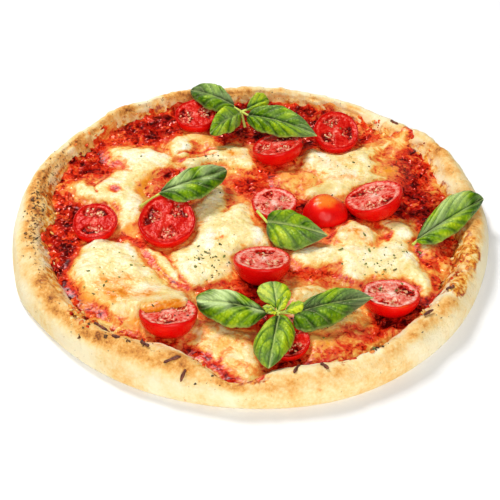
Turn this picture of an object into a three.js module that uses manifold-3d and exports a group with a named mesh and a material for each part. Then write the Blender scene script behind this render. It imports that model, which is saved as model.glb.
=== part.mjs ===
// Baked pizza: bread base with a raised rim, tomato sauce, melted mozzarella, halved cherry
// tomatoes and fresh basil. Millimetres, +Z up, the underside of the bread on Z = 0.
import * as THREE from 'three';
import { mergeVertices } from 'three/addons/utils/BufferGeometryUtils.js';
import Module from 'manifold-3d';

const wasm = await Module();
wasm.setup();

// Bread base
const RADIUS = 140;
const FLOOR = 6;
const FOOT_INSET = 4;
const EDGE_HEIGHT = 3;
const CREST = 17;
const CREST_PLACE = 0.5;
const INNER_FALL = 1.8;
const INNER_RADIUS = 119;
const STEPS_ROUND = 96;
const RIM_STEPS = [0, 0.05, 0.14, 0.28, 0.42, 0.58, 0.74, 0.86, 0.95, 1];
const FLOOR_RING = 0.55;

// Uneven outline of the bread and of the sauce edge: degrees round, millimetres out, spread in degrees
const OUTER_BUMPS = [
  { at: -70, by: 2, over: 18 },
  { at: -154, by: 2, over: 8 },
  { at: 150, by: 1, over: 16 },
  { at: 122, by: 1.5, over: 9 },
  { at: 64, by: -4, over: 22 },
  { at: -20, by: -1.6, over: 16 },
];
const INNER_BUMPS = [
  { at: -113, by: -8, over: 8 },
  { at: -93, by: 13, over: 6 },
  { at: -62, by: 5, over: 12 },
  { at: 30, by: 7, over: 9 },
  { at: 75, by: 7, over: 22 },
  { at: 123, by: 9.5, over: 23 },
  { at: 162, by: 5, over: 14 },
  { at: 180, by: -5, over: 7 },
];
const CREST_BUMPS = [
  { at: -115, by: 1.5, over: 12 },
  { at: -93, by: -3, over: 7 },
  { at: -35, by: 1, over: 18 },
  { at: 42, by: -1.5, over: 10 },
  { at: 82, by: -3, over: 34 },
  { at: 170, by: 1.2, over: 20 },
];

// Blisters on the rim
const BLISTERS = 26;
const BLISTER_SIZE = [6, 12];
const BLISTER_HEIGHT = [0.6, 1.6];
const BLISTER_ACROSS = [0.2, 0.8];
const BLISTER_SEED = 3;

// Layers on the base
const GAP = 0.35;
const MERGE_DISTANCE = 1e-4;
const SAUCE_TOP = 8.5;
const SAUCE_INSET = 0.6;
const SAUCE_UP_THE_RIM = 0.02;
const SAUCE_SHOULDER = [1.4, 0.3];
const REST = SAUCE_TOP + GAP;

// Herb sticks baked onto the rim: middle, turn in degrees, length
const STICK_RADIUS = 0.9;
const STICK_SIDES = 6;
const STICKS = [
  { at: [-39.5, -124], turn: 16, long: 10 },
  { at: [-33.5, -131], turn: 68, long: 8.5 },
  { at: [-54, -112], turn: -30, long: 6 },
  { at: [-78, -96.5], turn: -33, long: 9 },
  { at: [-69, -107], turn: -35, long: 5 },
  { at: [22.5, -128], turn: 56, long: 7 },
  { at: [36, -126.5], turn: -50, long: 5.5 },
  { at: [92.5, -90], turn: 41, long: 7 },
  { at: [106.5, -70.5], turn: 29, long: 5 },
  { at: [93.5, 90], turn: -40, long: 6.5 },
];

// Tomato halves: middle of the cut face, half sizes, and how far and which way the face rises
const TOMATO_STEPS = 20;
const TOMATO_RINGS = [80, 62, 44, 24, 0];
const TOMATOES = [
  { name: 'left', at: [-91, -10, 15], half: [13, 14.5, 12], uphill: 90, tilt: 6 },
  { name: 'left_large', at: [-49, -11, 17], half: [16.5, 19, 14], uphill: 90, tilt: 8 },
  { name: 'front_left', at: [-43.5, -87.5, 17.5], half: [15.5, 15.5, 14], uphill: -90, tilt: 15 },
  { name: 'middle_front', at: [6, -46.5, 18], half: [16, 16, 15], uphill: -90, tilt: 17 },
  { name: 'front_right', at: [75, -71.3, 15], half: [15.8, 15.5, 12], uphill: -90, tilt: 14 },
  { name: 'right', at: [72.6, 10, 17.5], half: [17.5, 17, 14], uphill: -31, tilt: 19 },
  { name: 'middle', at: [13.4, 8.5, 14], half: [13.5, 13.5, 11], uphill: 90, tilt: 3 },
  { name: 'back_middle', at: [16.3, 64, 16.5], half: [16, 16, 13], uphill: -40, tilt: 15 },
  { name: 'back_right', at: [54.5, 78.4, 17], half: [14.5, 17, 13], uphill: 90, tilt: 11 },
  { name: 'back_left', at: [-36.5, 99, 16], half: [13.5, 14, 12], uphill: 90, tilt: 8 },
  { name: 'front', at: [18, -103.5, 12.5], half: [12.5, 12, 9], uphill: 90, tilt: 4 },
];
const TOMATO_DOME = { name: 'turned_over', at: [44, 4], half: [13.5, 12.5, 11] };

// Pools of melted cheese: middle, thickness and edge points, joined where they run together
const POOL_RINGS = [[1, 0], [1, 0.3], [0.9, 0.75], [0.6, 1]];
const POOL_POINT_SPACING = 8;
const POOL_POINTS = [12, 28];
const CHEESES = [
  { name: 'front_left', pools: [
    { middle: [-72, -52], thick: 6, edge: [
      [-80, -21], [-93, -25], [-99, -38], [-99, -52], [-93, -64], [-82, -73], [-68, -80], [-56, -79],
      [-45, -75.5], [-34, -73], [-34, -66], [-47, -61], [-55.5, -50], [-61.5, -38], [-67, -27]] },
    { middle: [-47, -73], thick: 9.5, edge: [
      [-62, -80], [-52, -86], [-40, -84], [-31, -78], [-30, -70], [-40, -64], [-56, -67]] },
  ] },
  { name: 'middle', pools: [
    { middle: [-50, -43], thick: 3.5, edge: [
      [-62, -29], [-56, -28], [-48, -33], [-42, -42], [-36, -53], [-33, -61], [-39, -60.5], [-46.5, -53],
      [-53.5, -43], [-58.5, -35]] },
    { middle: [-23, -38], thick: 3.5, edge: [
      [-38, -27], [-28, -23], [-16, -18], [-4, -20], [4, -26], [-3, -29], [-10, -33], [-12, -42],
      [-13, -51], [-24, -56], [-34, -62], [-38, -54], [-44, -43], [-47, -31]] },
    { middle: [-6, -9], thick: 5, edge: [
      [-18, 6], [-8, 10], [0, 5], [3, -6], [9, -14], [9, -24], [2, -28], [-8, -27], [-16, -22],
      [-19, -8]] },
    { middle: [-24, 8], thick: 3.5, edge: [
      [-35, 10], [-28, 20], [-20, 30], [-14, 22], [-13, 10], [-13, 0], [-14, -16], [-24, -28], [-33, -26],
      [-33, -12], [-32, 0]] },
  ] },
  { name: 'left', pools: [
    { middle: [-68, 57], thick: 4, edge: [
      [-90, 67], [-82, 70], [-70, 71], [-60, 68], [-53, 63], [-48, 57], [-48, 50], [-56, 48], [-62, 44],
      [-72, 42], [-80, 46], [-80, 53], [-88, 60]] },
    { middle: [-78, 27], thick: 3.5, edge: [
      [-80, 47], [-70, 46], [-63, 42], [-67, 34], [-70, 27], [-69, 20], [-66, 14], [-68, 4], [-76, 4],
      [-82, 12], [-92, 15], [-101, 16], [-106, 22], [-107, 30], [-103, 35], [-96, 33], [-88, 39]] },
    { middle: [-73, -1], thick: 3, edge: [
      [-78, 8], [-68, 8], [-68, 0], [-71, -9], [-74, -12], [-77, -8], [-79, 0]] },
  ] },
  { name: 'back_left', pools: [
    { middle: [-47, 68], thick: 5, edge: [
      [-52, 77], [-46, 79], [-41, 73], [-38, 64], [-40, 56], [-49, 60], [-54, 69]] },
    { middle: [-32, 81], thick: 3, edge: [
      [-45, 77], [-38, 87], [-30, 86], [-22, 81], [-23, 76], [-33, 75]] },
    { middle: [-18, 60], thick: 4, edge: [
      [-46, 50], [-42, 58], [-29, 62], [-24, 70], [-17, 74], [-8, 71], [-1, 69], [1, 60], [3, 48],
      [-4, 45], [-12, 50], [-20, 53], [-30, 50], [-38, 47]] },
  ] },
  { name: 'back_right', pools: [
    { middle: [52, 53], thick: 4, edge: [
      [33, 60], [38, 68], [46, 65], [56, 64], [66, 67], [76, 68], [80, 62], [74, 58], [78, 52], [76, 44],
      [68, 38], [58, 32], [50, 34], [44, 42], [37, 47], [31, 51]] },
    { middle: [54, 31], thick: 3.5, edge: [
      [44, 42], [54, 44], [66, 43], [76, 42], [82, 38], [72, 33], [62, 29], [57, 22], [48, 18], [40, 17],
      [34, 20], [36, 27], [43, 32]] },
    { middle: [86, 73], thick: 3, edge: [
      [70, 69], [82, 75], [92, 82], [100, 84], [103, 76], [96, 69], [84, 64], [73, 62]] },
    { middle: [86, 48], thick: 2.2, edge: [
      [72, 56], [80, 58], [90, 57], [95, 48], [95, 36], [90, 31], [80, 38], [70, 47]] },
  ] },
  { name: 'right', pools: [
    { middle: [74, -38], thick: 4, edge: [
      [52, -20], [62, -24], [72, -26], [80, -20], [86, -12], [90, -10], [92, -16], [91, -24], [91, -32],
      [95, -40], [98, -50], [99, -60], [94, -68], [92, -58], [85, -53], [75, -52], [64, -54], [57, -58],
      [51, -50], [50, -40], [48, -30]] },
    { middle: [86, -10], thick: 3, edge: [
      [76, -4], [88, -4], [95, -9], [94, -18], [88, -20], [82, -20], [78, -12]] },
    { middle: [61, -17], thick: 6.5, edge: [
      [50, -14], [57, -7], [65, -8], [71, -13], [72, -22], [66, -27], [56, -27], [49, -24]] },
    { middle: [37, -34], thick: 3, edge: [
      [22, -32], [30, -28], [42, -26], [52, -28], [54, -38], [44, -42], [32, -42], [25, -40]] },
  ] },
  { name: 'front_right', pools: [
    { middle: [39, -76], thick: 3, edge: [
      [20, -60], [30, -57], [42, -59], [52, -65], [58, -72], [61, -82], [54, -90], [44, -95], [34, -94],
      [25, -88], [20, -75]] },
    { middle: [39, -103], thick: 2.6, edge: [
      [24, -89], [34, -90], [48, -91], [56, -98], [50, -104], [49, -113], [40, -116], [31, -113],
      [29, -104],
      [26, -96]] },
  ] },
  { name: 'front', pools: [
    { middle: [-13, -107], thick: 2.6, edge: [
      [-30, -89], [-20, -89], [-8, -92], [0, -95], [4, -106], [4, -120], [2, -130], [-6, -130],
      [-14, -125],
      [-22, -117], [-29, -107], [-33, -102]] },
  ] },
  { name: 'lump', pools: [
    { middle: [102, -28], thick: 4, edge: [
      [97, -22], [103, -21], [107, -28], [104, -35], [98, -35], [96.5, -28]] },
  ] },
  { name: 'back_middle', pools: [
    { middle: [27, 39], thick: 2.6, edge: [
      [12, 42], [20, 46], [30, 46], [38, 43], [40, 36], [33, 31], [22, 31], [14, 34]] },
  ] },
];

// Basil leaves: where the blade starts, its tip, and its widest point on each side of the midrib
const LEAF_THICKNESS = 0.8;
const LEAF_ROWS = 8;
const LEAF_COLUMNS = 4;
const LEAF_WIDEST = 0.45;
const LEAF_NARROWEST = 0.07;
const LEAF_TAPER = 0.87;
const LEAF_FULLNESS = 0.8;
const LEAF_WAVE = 0.6;
const LEAF_WAVES = 3;
const STALK_RADIUS = 1;
const STALK_SIDES = 6;
const STALK_INTO_BLADE = 2;
const SPRIGS = [
  { name: 'sprig_back', heart: [-6.5, 99, 18], stalk: [-4, 93, 9.6], leaves: [
    { base: [-11, 103.5, 19], tip: [-40.5, 120.5, 20],
      left: [-25.5, 98, 20], right: [-21.5, 121, 23], arch: 4 },
    { base: [-7, 94.5, 19], tip: [-26, 70.5, 20],
      left: [-10, 77, 20], right: [-19, 96, 22], arch: 4 },
    { base: [-3, 99.5, 19], tip: [11.5, 107, 21],
      left: [4, 107.5, 27], right: [7, 99, 20], arch: 2 },
    { base: [-2, 92.5, 19], tip: [41.5, 67, 21],
      left: [22, 92.5, 25], right: [12.5, 70.5, 20], arch: 5 },
  ] },
  { name: 'sprig_front', heart: [13.5, -87, 16], stalk: [13, -81, 9.6], leaves: [
    { base: [8.5, -87.5, 16.5], tip: [-29, -79, 17],
      left: [-8, -98.5, 17], right: [-12, -74, 19], arch: 4 },
    { base: [14, -85, 17], tip: [11.5, -74, 26],
      left: [3, -78, 22], right: [21, -78, 22], arch: 1 },
    { base: [23, -88, 16.5], tip: [64.5, -78.5, 19],
      left: [46.5, -73, 20], right: [37, -98, 16], arch: 4 },
    { base: [14.5, -90, 17], tip: [8.5, -127, 17],
      left: [22, -106.5, 18], right: [1, -110.5, 18], arch: 3 },
    { base: [12.5, -86.5, 17], tip: [6, -85, 18.5],
      left: [8.5, -88.5, 18], right: [10, -84.5, 19], arch: 1 },
    { base: [18, -87, 17], tip: [27.5, -83, 19.5],
      left: [21.5, -83.5, 20], right: [25, -89, 18.5], arch: 1 },
  ] },
  { name: 'leaf_left', heart: [-54.5, 9, 20], stalk: [-66, 6.5, 12.5], leaves: [
    { base: [-54.5, 9, 20.5], tip: [-15, 31.5, 20],
      left: [-37, 28.5, 23], right: [-33.5, 1.5, 22], arch: 2 },
  ] },
  { name: 'leaf_middle', heart: [9.5, -10.5, 14], stalk: [3.5, -1, 15.2], leaves: [
    { base: [9.5, -10.5, 14.5], tip: [43.5, -23, 15],
      left: [23, -7.5, 20], right: [21, -32.5, 13], arch: 3 },
  ] },
  { name: 'leaf_right', heart: [94.5, -25, 12.5], stalk: [92, -28, 12.5], leaves: [
    { base: [94.5, -25, 13], tip: [136.5, 4.5, 19.4],
      left: [117, 7, 20.4], right: [113, -26.5, 17.9], arch: 3 },
  ] },
];

const COLOURS = {
  crust: { color: '#e3b878', roughness: 0.85 },
  sauce: { color: '#b3201a', roughness: 0.4 },
  cheese: { color: '#f4e3b4', roughness: 0.5 },
  tomato: { color: '#d01f14', roughness: 0.25 },
  basil: { color: '#4f8f2b', roughness: 0.5 },
};

const radians = THREE.MathUtils.degToRad;
const UP = new THREE.Vector3(0, 0, 1);

// Sum of rounded bumps round the rim at an angle in degrees
function bumpsAt(bumps, angle) {
  return bumps.reduce((sum, bump) => {
    const away = THREE.MathUtils.euclideanModulo(angle - bump.at + 180, 360) - 180;
    return sum + bump.by * Math.exp(-((away / bump.over) ** 2));
  }, 0);
}

const outerRadius = (angle) => RADIUS + bumpsAt(OUTER_BUMPS, angle);
const innerRadius = (angle) => INNER_RADIUS + bumpsAt(INNER_BUMPS, angle);

// Blisters spread over the rim: angle, place across the rim, size and height
function drawBlisters() {
  const draw = THREE.MathUtils.seededRandom;
  const between = ([low, high]) => low + (high - low) * draw();
  draw(BLISTER_SEED);
  return Array.from({ length: BLISTERS }, (_, index) => ({
    angle: (360 * (index + draw())) / BLISTERS,
    across: between(BLISTER_ACROSS),
    size: between(BLISTER_SIZE),
    height: between(BLISTER_HEIGHT),
  }));
}
const blisters = drawBlisters();

// Height of the rim at an angle, across runs from 0 at the outer edge to 1 at the sauce
function rimHeight(angle, across) {
  const crest = CREST + bumpsAt(CREST_BUMPS, angle);
  const width = outerRadius(angle) - innerRadius(angle);
  const swell = blisters.reduce((sum, blister) => {
    const round = radians(THREE.MathUtils.euclideanModulo(angle - blister.angle + 180, 360) - 180) * RADIUS;
    const inward = (across - blister.across) * width;
    return sum + blister.height * Math.exp(-(round ** 2 + inward ** 2) / blister.size ** 2);
  }, 0) * Math.sin(Math.PI * across);
  if (across < CREST_PLACE) {
    const out = 1 - across / CREST_PLACE;
    return EDGE_HEIGHT + (crest - EDGE_HEIGHT) * Math.sqrt(1 - out ** 2) + swell;
  }
  const inward = (across - CREST_PLACE) / (1 - CREST_PLACE);
  return FLOOR + (crest - FLOOR) * (1 - inward ** INNER_FALL) + swell;
}

function pointAt(angle, radius, height) {
  return new THREE.Vector3(radius * Math.cos(radians(angle)), radius * Math.sin(radians(angle)), height);
}

function ringOf(steps, pointAtStep) {
  return Array.from({ length: steps }, (_, step) => pointAtStep(step));
}

// Closed skin through rings of points that run from the lowest middle outward, up and back to the middle
function skin(rings) {
  const count = rings[0].length;
  const middles = [rings[0], rings[rings.length - 1]].map((ring) => (
    ring.reduce((sum, point) => sum.add(point), new THREE.Vector3()).divideScalar(count)));
  const points = [...rings.flat(), ...middles];
  const foot = points.length - 2;
  const top = points.length - 1;
  const last = (rings.length - 1) * count;
  const faces = [];
  for (let step = 0; step < count; step += 1) {
    const next = (step + 1) % count;
    faces.push(foot, next, step, top, last + step, last + next);
    for (let low = 0; low < last; low += count) {
      const high = low + count;
      faces.push(low + step, low + next, high + next, low + step, high + next, high + step);
    }
  }
  const geometry = new THREE.BufferGeometry().setFromPoints(points);
  geometry.setIndex(faces);
  return geometry;
}

function solidOf(geometry) {
  const bare = geometry.clone();
  bare.deleteAttribute('normal');
  bare.deleteAttribute('uv');
  const merged = mergeVertices(bare, MERGE_DISTANCE);
  return new wasm.Manifold(new wasm.Mesh({
    numProp: 3,
    vertProperties: Float32Array.from(merged.attributes.position.array),
    triVerts: Uint32Array.from(merged.index.array),
  }));
}

function geometryOf(solid) {
  const { vertProperties, triVerts } = solid.getMesh();
  const geometry = new THREE.BufferGeometry();
  geometry.setAttribute('position', new THREE.BufferAttribute(Float32Array.from(vertProperties), 3));
  geometry.setIndex(Array.from(triVerts));
  return geometry;
}

function joined(solids) {
  return solids.reduce((whole, solid) => whole.add(solid));
}

// The largest body of a cut solid, without loose scraps
function mainBody(solid) {
  return solid.decompose().reduce((largest, body) => (body.volume() > largest.volume() ? body : largest));
}

// Bread base; a clearance makes the slightly larger copy that cuts its neighbours
function breadSolid(clearance) {
  const rings = [
    ringOf(STEPS_ROUND, (step) => {
      const angle = (360 * step) / STEPS_ROUND;
      return pointAt(angle, outerRadius(angle) - FOOT_INSET, 0);
    }),
    ...RIM_STEPS.map((across) => ringOf(STEPS_ROUND, (step) => {
      const angle = (360 * step) / STEPS_ROUND;
      const width = outerRadius(angle) - innerRadius(angle) + clearance;
      return pointAt(angle, outerRadius(angle) - across * width, rimHeight(angle, across) + clearance);
    })),
    ringOf(STEPS_ROUND, (step) => {
      const angle = (360 * step) / STEPS_ROUND;
      return pointAt(angle, innerRadius(angle) * FLOOR_RING, FLOOR + clearance);
    }),
  ];
  return solidOf(skin(rings));
}

function rimHeightAtPoint(x, y) {
  const angle = THREE.MathUtils.radToDeg(Math.atan2(y, x));
  const outer = outerRadius(angle);
  return rimHeight(angle, (outer - Math.hypot(x, y)) / (outer - innerRadius(angle)));
}

// Herb stick half sunk in the rim along its surface
function stickSolid({ at, turn, long }) {
  const along = new THREE.Vector2(Math.cos(radians(turn)), Math.sin(radians(turn)));
  const ends = [-0.5, 0.5].map((side) => {
    const x = at[0] + along.x * long * side;
    const y = at[1] + along.y * long * side;
    return new THREE.Vector3(x, y, rimHeightAtPoint(x, y));
  });
  return solidOf(tube(ends[0], ends[1], STICK_RADIUS, STICK_SIDES));
}

function tube(from, to, radius, sides) {
  const path = new THREE.LineCurve3(from, to);
  const direction = path.getTangent(0);
  const geometry = new THREE.CylinderGeometry(radius, radius, path.getLength(), sides);
  geometry.applyQuaternion(new THREE.Quaternion().setFromUnitVectors(new THREE.Vector3(0, 1, 0), direction));
  const middle = path.getPoint(0.5);
  return geometry.translate(middle.x, middle.y, middle.z);
}

function sauceGeometry() {
  const ring = (spread, inset, height) => ringOf(STEPS_ROUND, (step) => {
    const angle = (360 * step) / STEPS_ROUND;
    const inner = innerRadius(angle);
    return pointAt(angle, inner + spread * (outerRadius(angle) - inner) - inset, height);
  });
  const [shoulderWidth, shoulderDrop] = SAUCE_SHOULDER;
  return skin([
    ring(0, SAUCE_INSET, FLOOR + GAP),
    ring(SAUCE_UP_THE_RIM, SAUCE_INSET, SAUCE_TOP - shoulderDrop),
    ring(SAUCE_UP_THE_RIM, SAUCE_INSET + shoulderWidth, SAUCE_TOP),
  ]);
}

// Rings of a half ball whose flat face is level, with the ball below it or above it
function halfBallRings([across, along, depth], above) {
  const rings = TOMATO_RINGS.map((slope) => ringOf(TOMATO_STEPS, (step) => {
    const round = (2 * Math.PI * step) / TOMATO_STEPS;
    const reach = Math.cos(radians(slope));
    const height = depth * Math.sin(radians(slope));
    const place = new THREE.Vector3(across * Math.cos(round), along * Math.sin(round), 0);
    return place.multiplyScalar(reach).setZ(above ? height : -height);
  }));
  return above ? rings.reverse() : rings;
}

const restBlock = new THREE.BoxGeometry(3 * RADIUS, 3 * RADIUS, RADIUS);
const belowRest = solidOf(restBlock.translate(0, 0, REST - RADIUS / 2));

// Tomato half with its cut face up; a clearance makes the copy that cuts the cheese round it
function tomatoSolid({ at, half, uphill, tilt }, clearance) {
  const geometry = skin(halfBallRings(half.map((size) => size + clearance), false));
  const rise = pointAt(uphill, 1, 0).cross(UP);
  geometry.translate(0, 0, clearance);
  geometry.applyQuaternion(new THREE.Quaternion().setFromAxisAngle(rise, radians(tilt)));
  return solidOf(geometry.translate(...at));
}

function tomatoDomeSolid({ at, half }, clearance) {
  const geometry = skin(halfBallRings(half.map((size) => size + clearance), true));
  return solidOf(geometry.translate(at[0], at[1], REST - clearance));
}

// Pool of melted cheese with a rounded edge
function poolSolid({ middle, thick, edge }) {
  const centre = new THREE.Vector3(middle[0], middle[1], 0);
  const outline = new THREE.CatmullRomCurve3(edge.map(([x, y]) => new THREE.Vector3(x, y, 0)), true);
  const wanted = Math.round(outline.getLength() / POOL_POINT_SPACING);
  const count = THREE.MathUtils.clamp(wanted, POOL_POINTS[0], POOL_POINTS[1]);
  const border = outline.getSpacedPoints(count).slice(0, count);
  const ordered = THREE.ShapeUtils.isClockWise(border) ? border.reverse() : border;
  const rings = POOL_RINGS.map(([reach, height]) => ordered.map((point) => (
    centre.clone().lerp(point, reach).setZ(REST + thick * height))));
  return solidOf(skin(rings));
}

// Thin wavy blade through its base, tip and side points
function leafSolid({ base, tip, left, right, arch }) {
  const corners = [base, tip, left, right].map((point) => new THREE.Vector3(...point));
  const [start, end, leftSide, rightSide] = corners;
  const high = start.clone().lerp(end, 0.5).addScaledVector(UP, arch);
  const midrib = new THREE.QuadraticBezierCurve3(start, high, end);
  const heart = midrib.getPoint(LEAF_WIDEST);
  const sides = [leftSide.sub(heart), rightSide.sub(heart)];
  const across = LEAF_COLUMNS + 1;
  const top = [];
  for (let row = 0; row <= LEAF_ROWS; row += 1) {
    const along = row / LEAF_ROWS;
    const width = Math.max(LEAF_NARROWEST, Math.sin(Math.PI * along ** LEAF_TAPER) ** LEAF_FULLNESS);
    for (let column = 0; column < across; column += 1) {
      const side = 1 - (2 * column) / LEAF_COLUMNS;
      const out = side > 0 ? sides[0] : sides[1];
      const wave = LEAF_WAVE * Math.sin(2 * Math.PI * LEAF_WAVES * along) * side * side * width;
      const point = midrib.getPoint(along).addScaledVector(out, Math.abs(side) * width);
      top.push(point.addScaledVector(UP, wave));
    }
  }
  const points = [...top, ...top.map((point) => point.clone().addScaledVector(UP, -LEAF_THICKNESS))];
  const under = top.length;
  const faces = [];
  for (let row = 0; row < LEAF_ROWS; row += 1) {
    for (let column = 0; column < LEAF_COLUMNS; column += 1) {
      const corner = row * across + column;
      const ahead = corner + across;
      faces.push(corner, corner + 1, ahead + 1, corner, ahead + 1, ahead);
      faces.push(under + corner, under + ahead + 1, under + corner + 1);
      faces.push(under + corner, under + ahead, under + ahead + 1);
    }
  }
  const rim = [];
  for (let column = 0; column < LEAF_COLUMNS; column += 1) {
    rim.push(column);
  }
  for (let row = 0; row < LEAF_ROWS; row += 1) {
    rim.push(row * across + LEAF_COLUMNS);
  }
  for (let column = LEAF_COLUMNS; column > 0; column -= 1) {
    rim.push(LEAF_ROWS * across + column);
  }
  for (let row = LEAF_ROWS; row > 0; row -= 1) {
    rim.push(row * across);
  }
  rim.forEach((here, index) => {
    const next = rim[(index + 1) % rim.length];
    faces.push(here, under + here, under + next, here, under + next, next);
  });
  const geometry = new THREE.BufferGeometry().setFromPoints(points);
  geometry.setIndex(faces);
  return solidOf(geometry);
}

// Leaves joined to one stalk
function sprigSolid({ heart, stalk, leaves }) {
  const centre = new THREE.Vector3(...heart);
  const parts = leaves.flatMap((leaf) => {
    const base = new THREE.Vector3(...leaf.base).addScaledVector(UP, -LEAF_THICKNESS / 2);
    const into = new THREE.Vector3(...leaf.tip).sub(base).setLength(STALK_INTO_BLADE);
    return [leafSolid(leaf), solidOf(tube(centre, base.add(into), STALK_RADIUS, STALK_SIDES))];
  });
  parts.push(solidOf(tube(new THREE.Vector3(...stalk), centre, STALK_RADIUS, STALK_SIDES)));
  return mainBody(joined(parts));
}

const part = new THREE.Group();

function addNode(name, geometry, colour) {
  const material = new THREE.MeshStandardMaterial({ ...COLOURS[colour], metalness: 0 });
  const mesh = new THREE.Mesh(geometry, material);
  mesh.name = name;
  part.add(mesh);
}

const bread = breadSolid(0);
const breadCut = breadSolid(GAP);
addNode('crust', geometryOf(mainBody(joined([bread, ...STICKS.map(stickSolid)]))), 'crust');
addNode('tomato_sauce', sauceGeometry(), 'sauce');

const tomatoCuts = [tomatoDomeSolid(TOMATO_DOME, GAP)];
addNode(`tomato_${TOMATO_DOME.name}`, geometryOf(tomatoDomeSolid(TOMATO_DOME, 0)), 'tomato');
TOMATOES.forEach((tomato) => {
  const whole = tomatoSolid(tomato, 0).subtract(belowRest).subtract(breadCut);
  addNode(`tomato_${tomato.name}`, geometryOf(mainBody(whole)), 'tomato');
  tomatoCuts.push(tomatoSolid(tomato, GAP));
});

const cheeseCut = joined([breadCut, ...tomatoCuts]);
CHEESES.forEach(({ name, pools }) => {
  const whole = joined(pools.map(poolSolid)).subtract(cheeseCut);
  addNode(`cheese_${name}`, geometryOf(mainBody(whole)), 'cheese');
});

SPRIGS.forEach((sprig) => {
  addNode(`basil_${sprig.name}`, geometryOf(sprigSolid(sprig)), 'basil');
});

export default part;
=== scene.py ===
import bpy
import numpy as np
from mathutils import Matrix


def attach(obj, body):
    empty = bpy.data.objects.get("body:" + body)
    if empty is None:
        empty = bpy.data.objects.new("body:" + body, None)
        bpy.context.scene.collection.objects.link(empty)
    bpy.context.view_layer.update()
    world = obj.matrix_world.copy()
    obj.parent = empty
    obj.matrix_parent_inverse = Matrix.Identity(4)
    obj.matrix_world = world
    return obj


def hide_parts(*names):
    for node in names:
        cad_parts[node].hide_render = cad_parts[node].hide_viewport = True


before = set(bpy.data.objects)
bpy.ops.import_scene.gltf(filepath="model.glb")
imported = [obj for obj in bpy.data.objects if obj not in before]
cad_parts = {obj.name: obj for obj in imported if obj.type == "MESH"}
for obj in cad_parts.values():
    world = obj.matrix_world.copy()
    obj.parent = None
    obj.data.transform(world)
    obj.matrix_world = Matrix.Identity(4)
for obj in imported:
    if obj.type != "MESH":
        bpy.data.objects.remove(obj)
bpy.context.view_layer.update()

# Lengths are millimetres until a mesh is made
MM = 0.001

# Bread: the numbers of the solid
RADIUS = 140
FLOOR = 6
FOOT_INSET = 4
EDGE_HEIGHT = 3
CREST = 17
CREST_PLACE = 0.5
INNER_FALL = 1.8
INNER_RADIUS = 119
SAUCE_TOP = 8.5
REST = 8.85

# Uneven rim: degrees round, millimetres, spread in degrees
OUTER_BUMPS = [(-70, 2, 18), (-154, 2, 8), (150, 1, 16), (122, 1.5, 9), (64, -4, 22),
               (-20, -1.6, 16)]
INNER_BUMPS = [(-113, -8, 8), (-93, 13, 6), (-62, 5, 12), (30, 7, 9), (75, 7, 22), (123, 9.5, 23),
               (162, 5, 14), (180, -5, 7)]
CREST_BUMPS = [(-115, 1.5, 12), (-93, -3, 7), (-35, 1, 18), (42, -1.5, 10), (82, -3, 34),
               (170, 1.2, 20)]
BLISTERS = 26
BLISTER_SEED = 3

# How much darker the crown of the rim is baked: degrees round, share, spread in degrees. The lighter crown
# at the back, from 42 to 132 degrees, is painted light where light falls on the back of the rim
BAKE_AND_LIGHT_BUMPS = [(178, 0.14, 22), (132, -0.18, 20), (85, -0.3, 24), (-122, 0.22, 16), (-88, -0.24, 22),
              (-62, -0.26, 14), (-38, -0.12, 16), (42, -0.45, 20)]
# The same for the outer wall, and for the shoulder between the wall and the crest
WALL_BUMPS = [(-80, 0.17, 46), (-60, 0.1, 8), (178, -0.1, 30), (140, -0.1, 30)]
SHOULDER_BUMPS = [(-140, 0.4, 11), (-129, 0.26, 7), (-118, 0.1, 8), (-82, 0.17, 40),
                  (-28, 0.2, 18)]
# The same for the heel, where the bread stood on the stone
HEEL_BUMPS = [(60, 0.22, 60), (150, 0.22, 50)]
# The same for the inner slope, where oil and cheese turned it golden
GOLDEN_BUMPS = [(135, 0.3, 36), (92, 0.16, 22), (55, 0.26, 30), (-20, 0.08, 20)]
# A random field repeats after this many swells
LATTICE = 97
# Length of a crease along the rim, so that one round of the field is one round of the rim
CREASE_LENGTH = 2 * np.pi * RADIUS / LATTICE
# How many burnt specks the rim has: degrees round, share, spread in degrees
SPECK_BUMPS = [(176, 1.5, 26), (-150, 0.5, 20), (-122, 0.6, 14), (125, 0.5, 30), (90, 0.35, 30)]
# How much drier the edge of the sauce is: degrees round, share, spread in degrees
DRY_BUMPS = [(-128, 0.46, 8), (-65, 0.35, 10), (-20, 0.25, 14), (18, 0.17, 14), (50, 0.25, 14),
             (165, 0.15, 14)]
# How much further the sauce climbs the rim: degrees round, millimetres, spread in degrees
SMEAR_BUMPS = [(140, 2.6, 34), (62, 2.2, 26)]
# Browned cheese and sauce that ran onto the rim: middle, half size, strength
RIM_STAINS = [((120, -32), (8, 13), 1.2), ((123, -46), (8, 9), 0.9), ((113, -68), (7, 11), 1.3),
              ((-88, -88), (12, 8), 0.8), ((-62, -104), (14, 6), 0.65), ((-20, -124), (12, 7), 0.75),
              ((62, -109), (14, 6), 0.7), ((92, 78), (12, 9), 0.1), ((-58, 110), (8, 9), 0.6),
              ((-118, -8), (8, 14), 0.5), ((-121, 16), (6, 12), 0.4), ((-110, -58), (6, 14), 0.5),
              ((40, -120), (12, 5), 0.55), ((-2, -133), (10, 4), 0.8)]

# Herb sticks on the rim: middle, turn in degrees, length
STICKS = [((-39.5, -123), 16, 9), ((-33.7, -130.5), 68, 5), ((-54, -112), -30, 6), ((-78, -96.5), -33, 9),
          ((-69, -107), -35, 5), ((22.5, -128), 56, 7), ((36, -126.5), -50, 5.5), ((92.5, -90), 41, 7),
          ((106.5, -70.5), 29, 5), ((93.5, 90), -40, 6.5)]
STICK_RADIUS = 0.85
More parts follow.
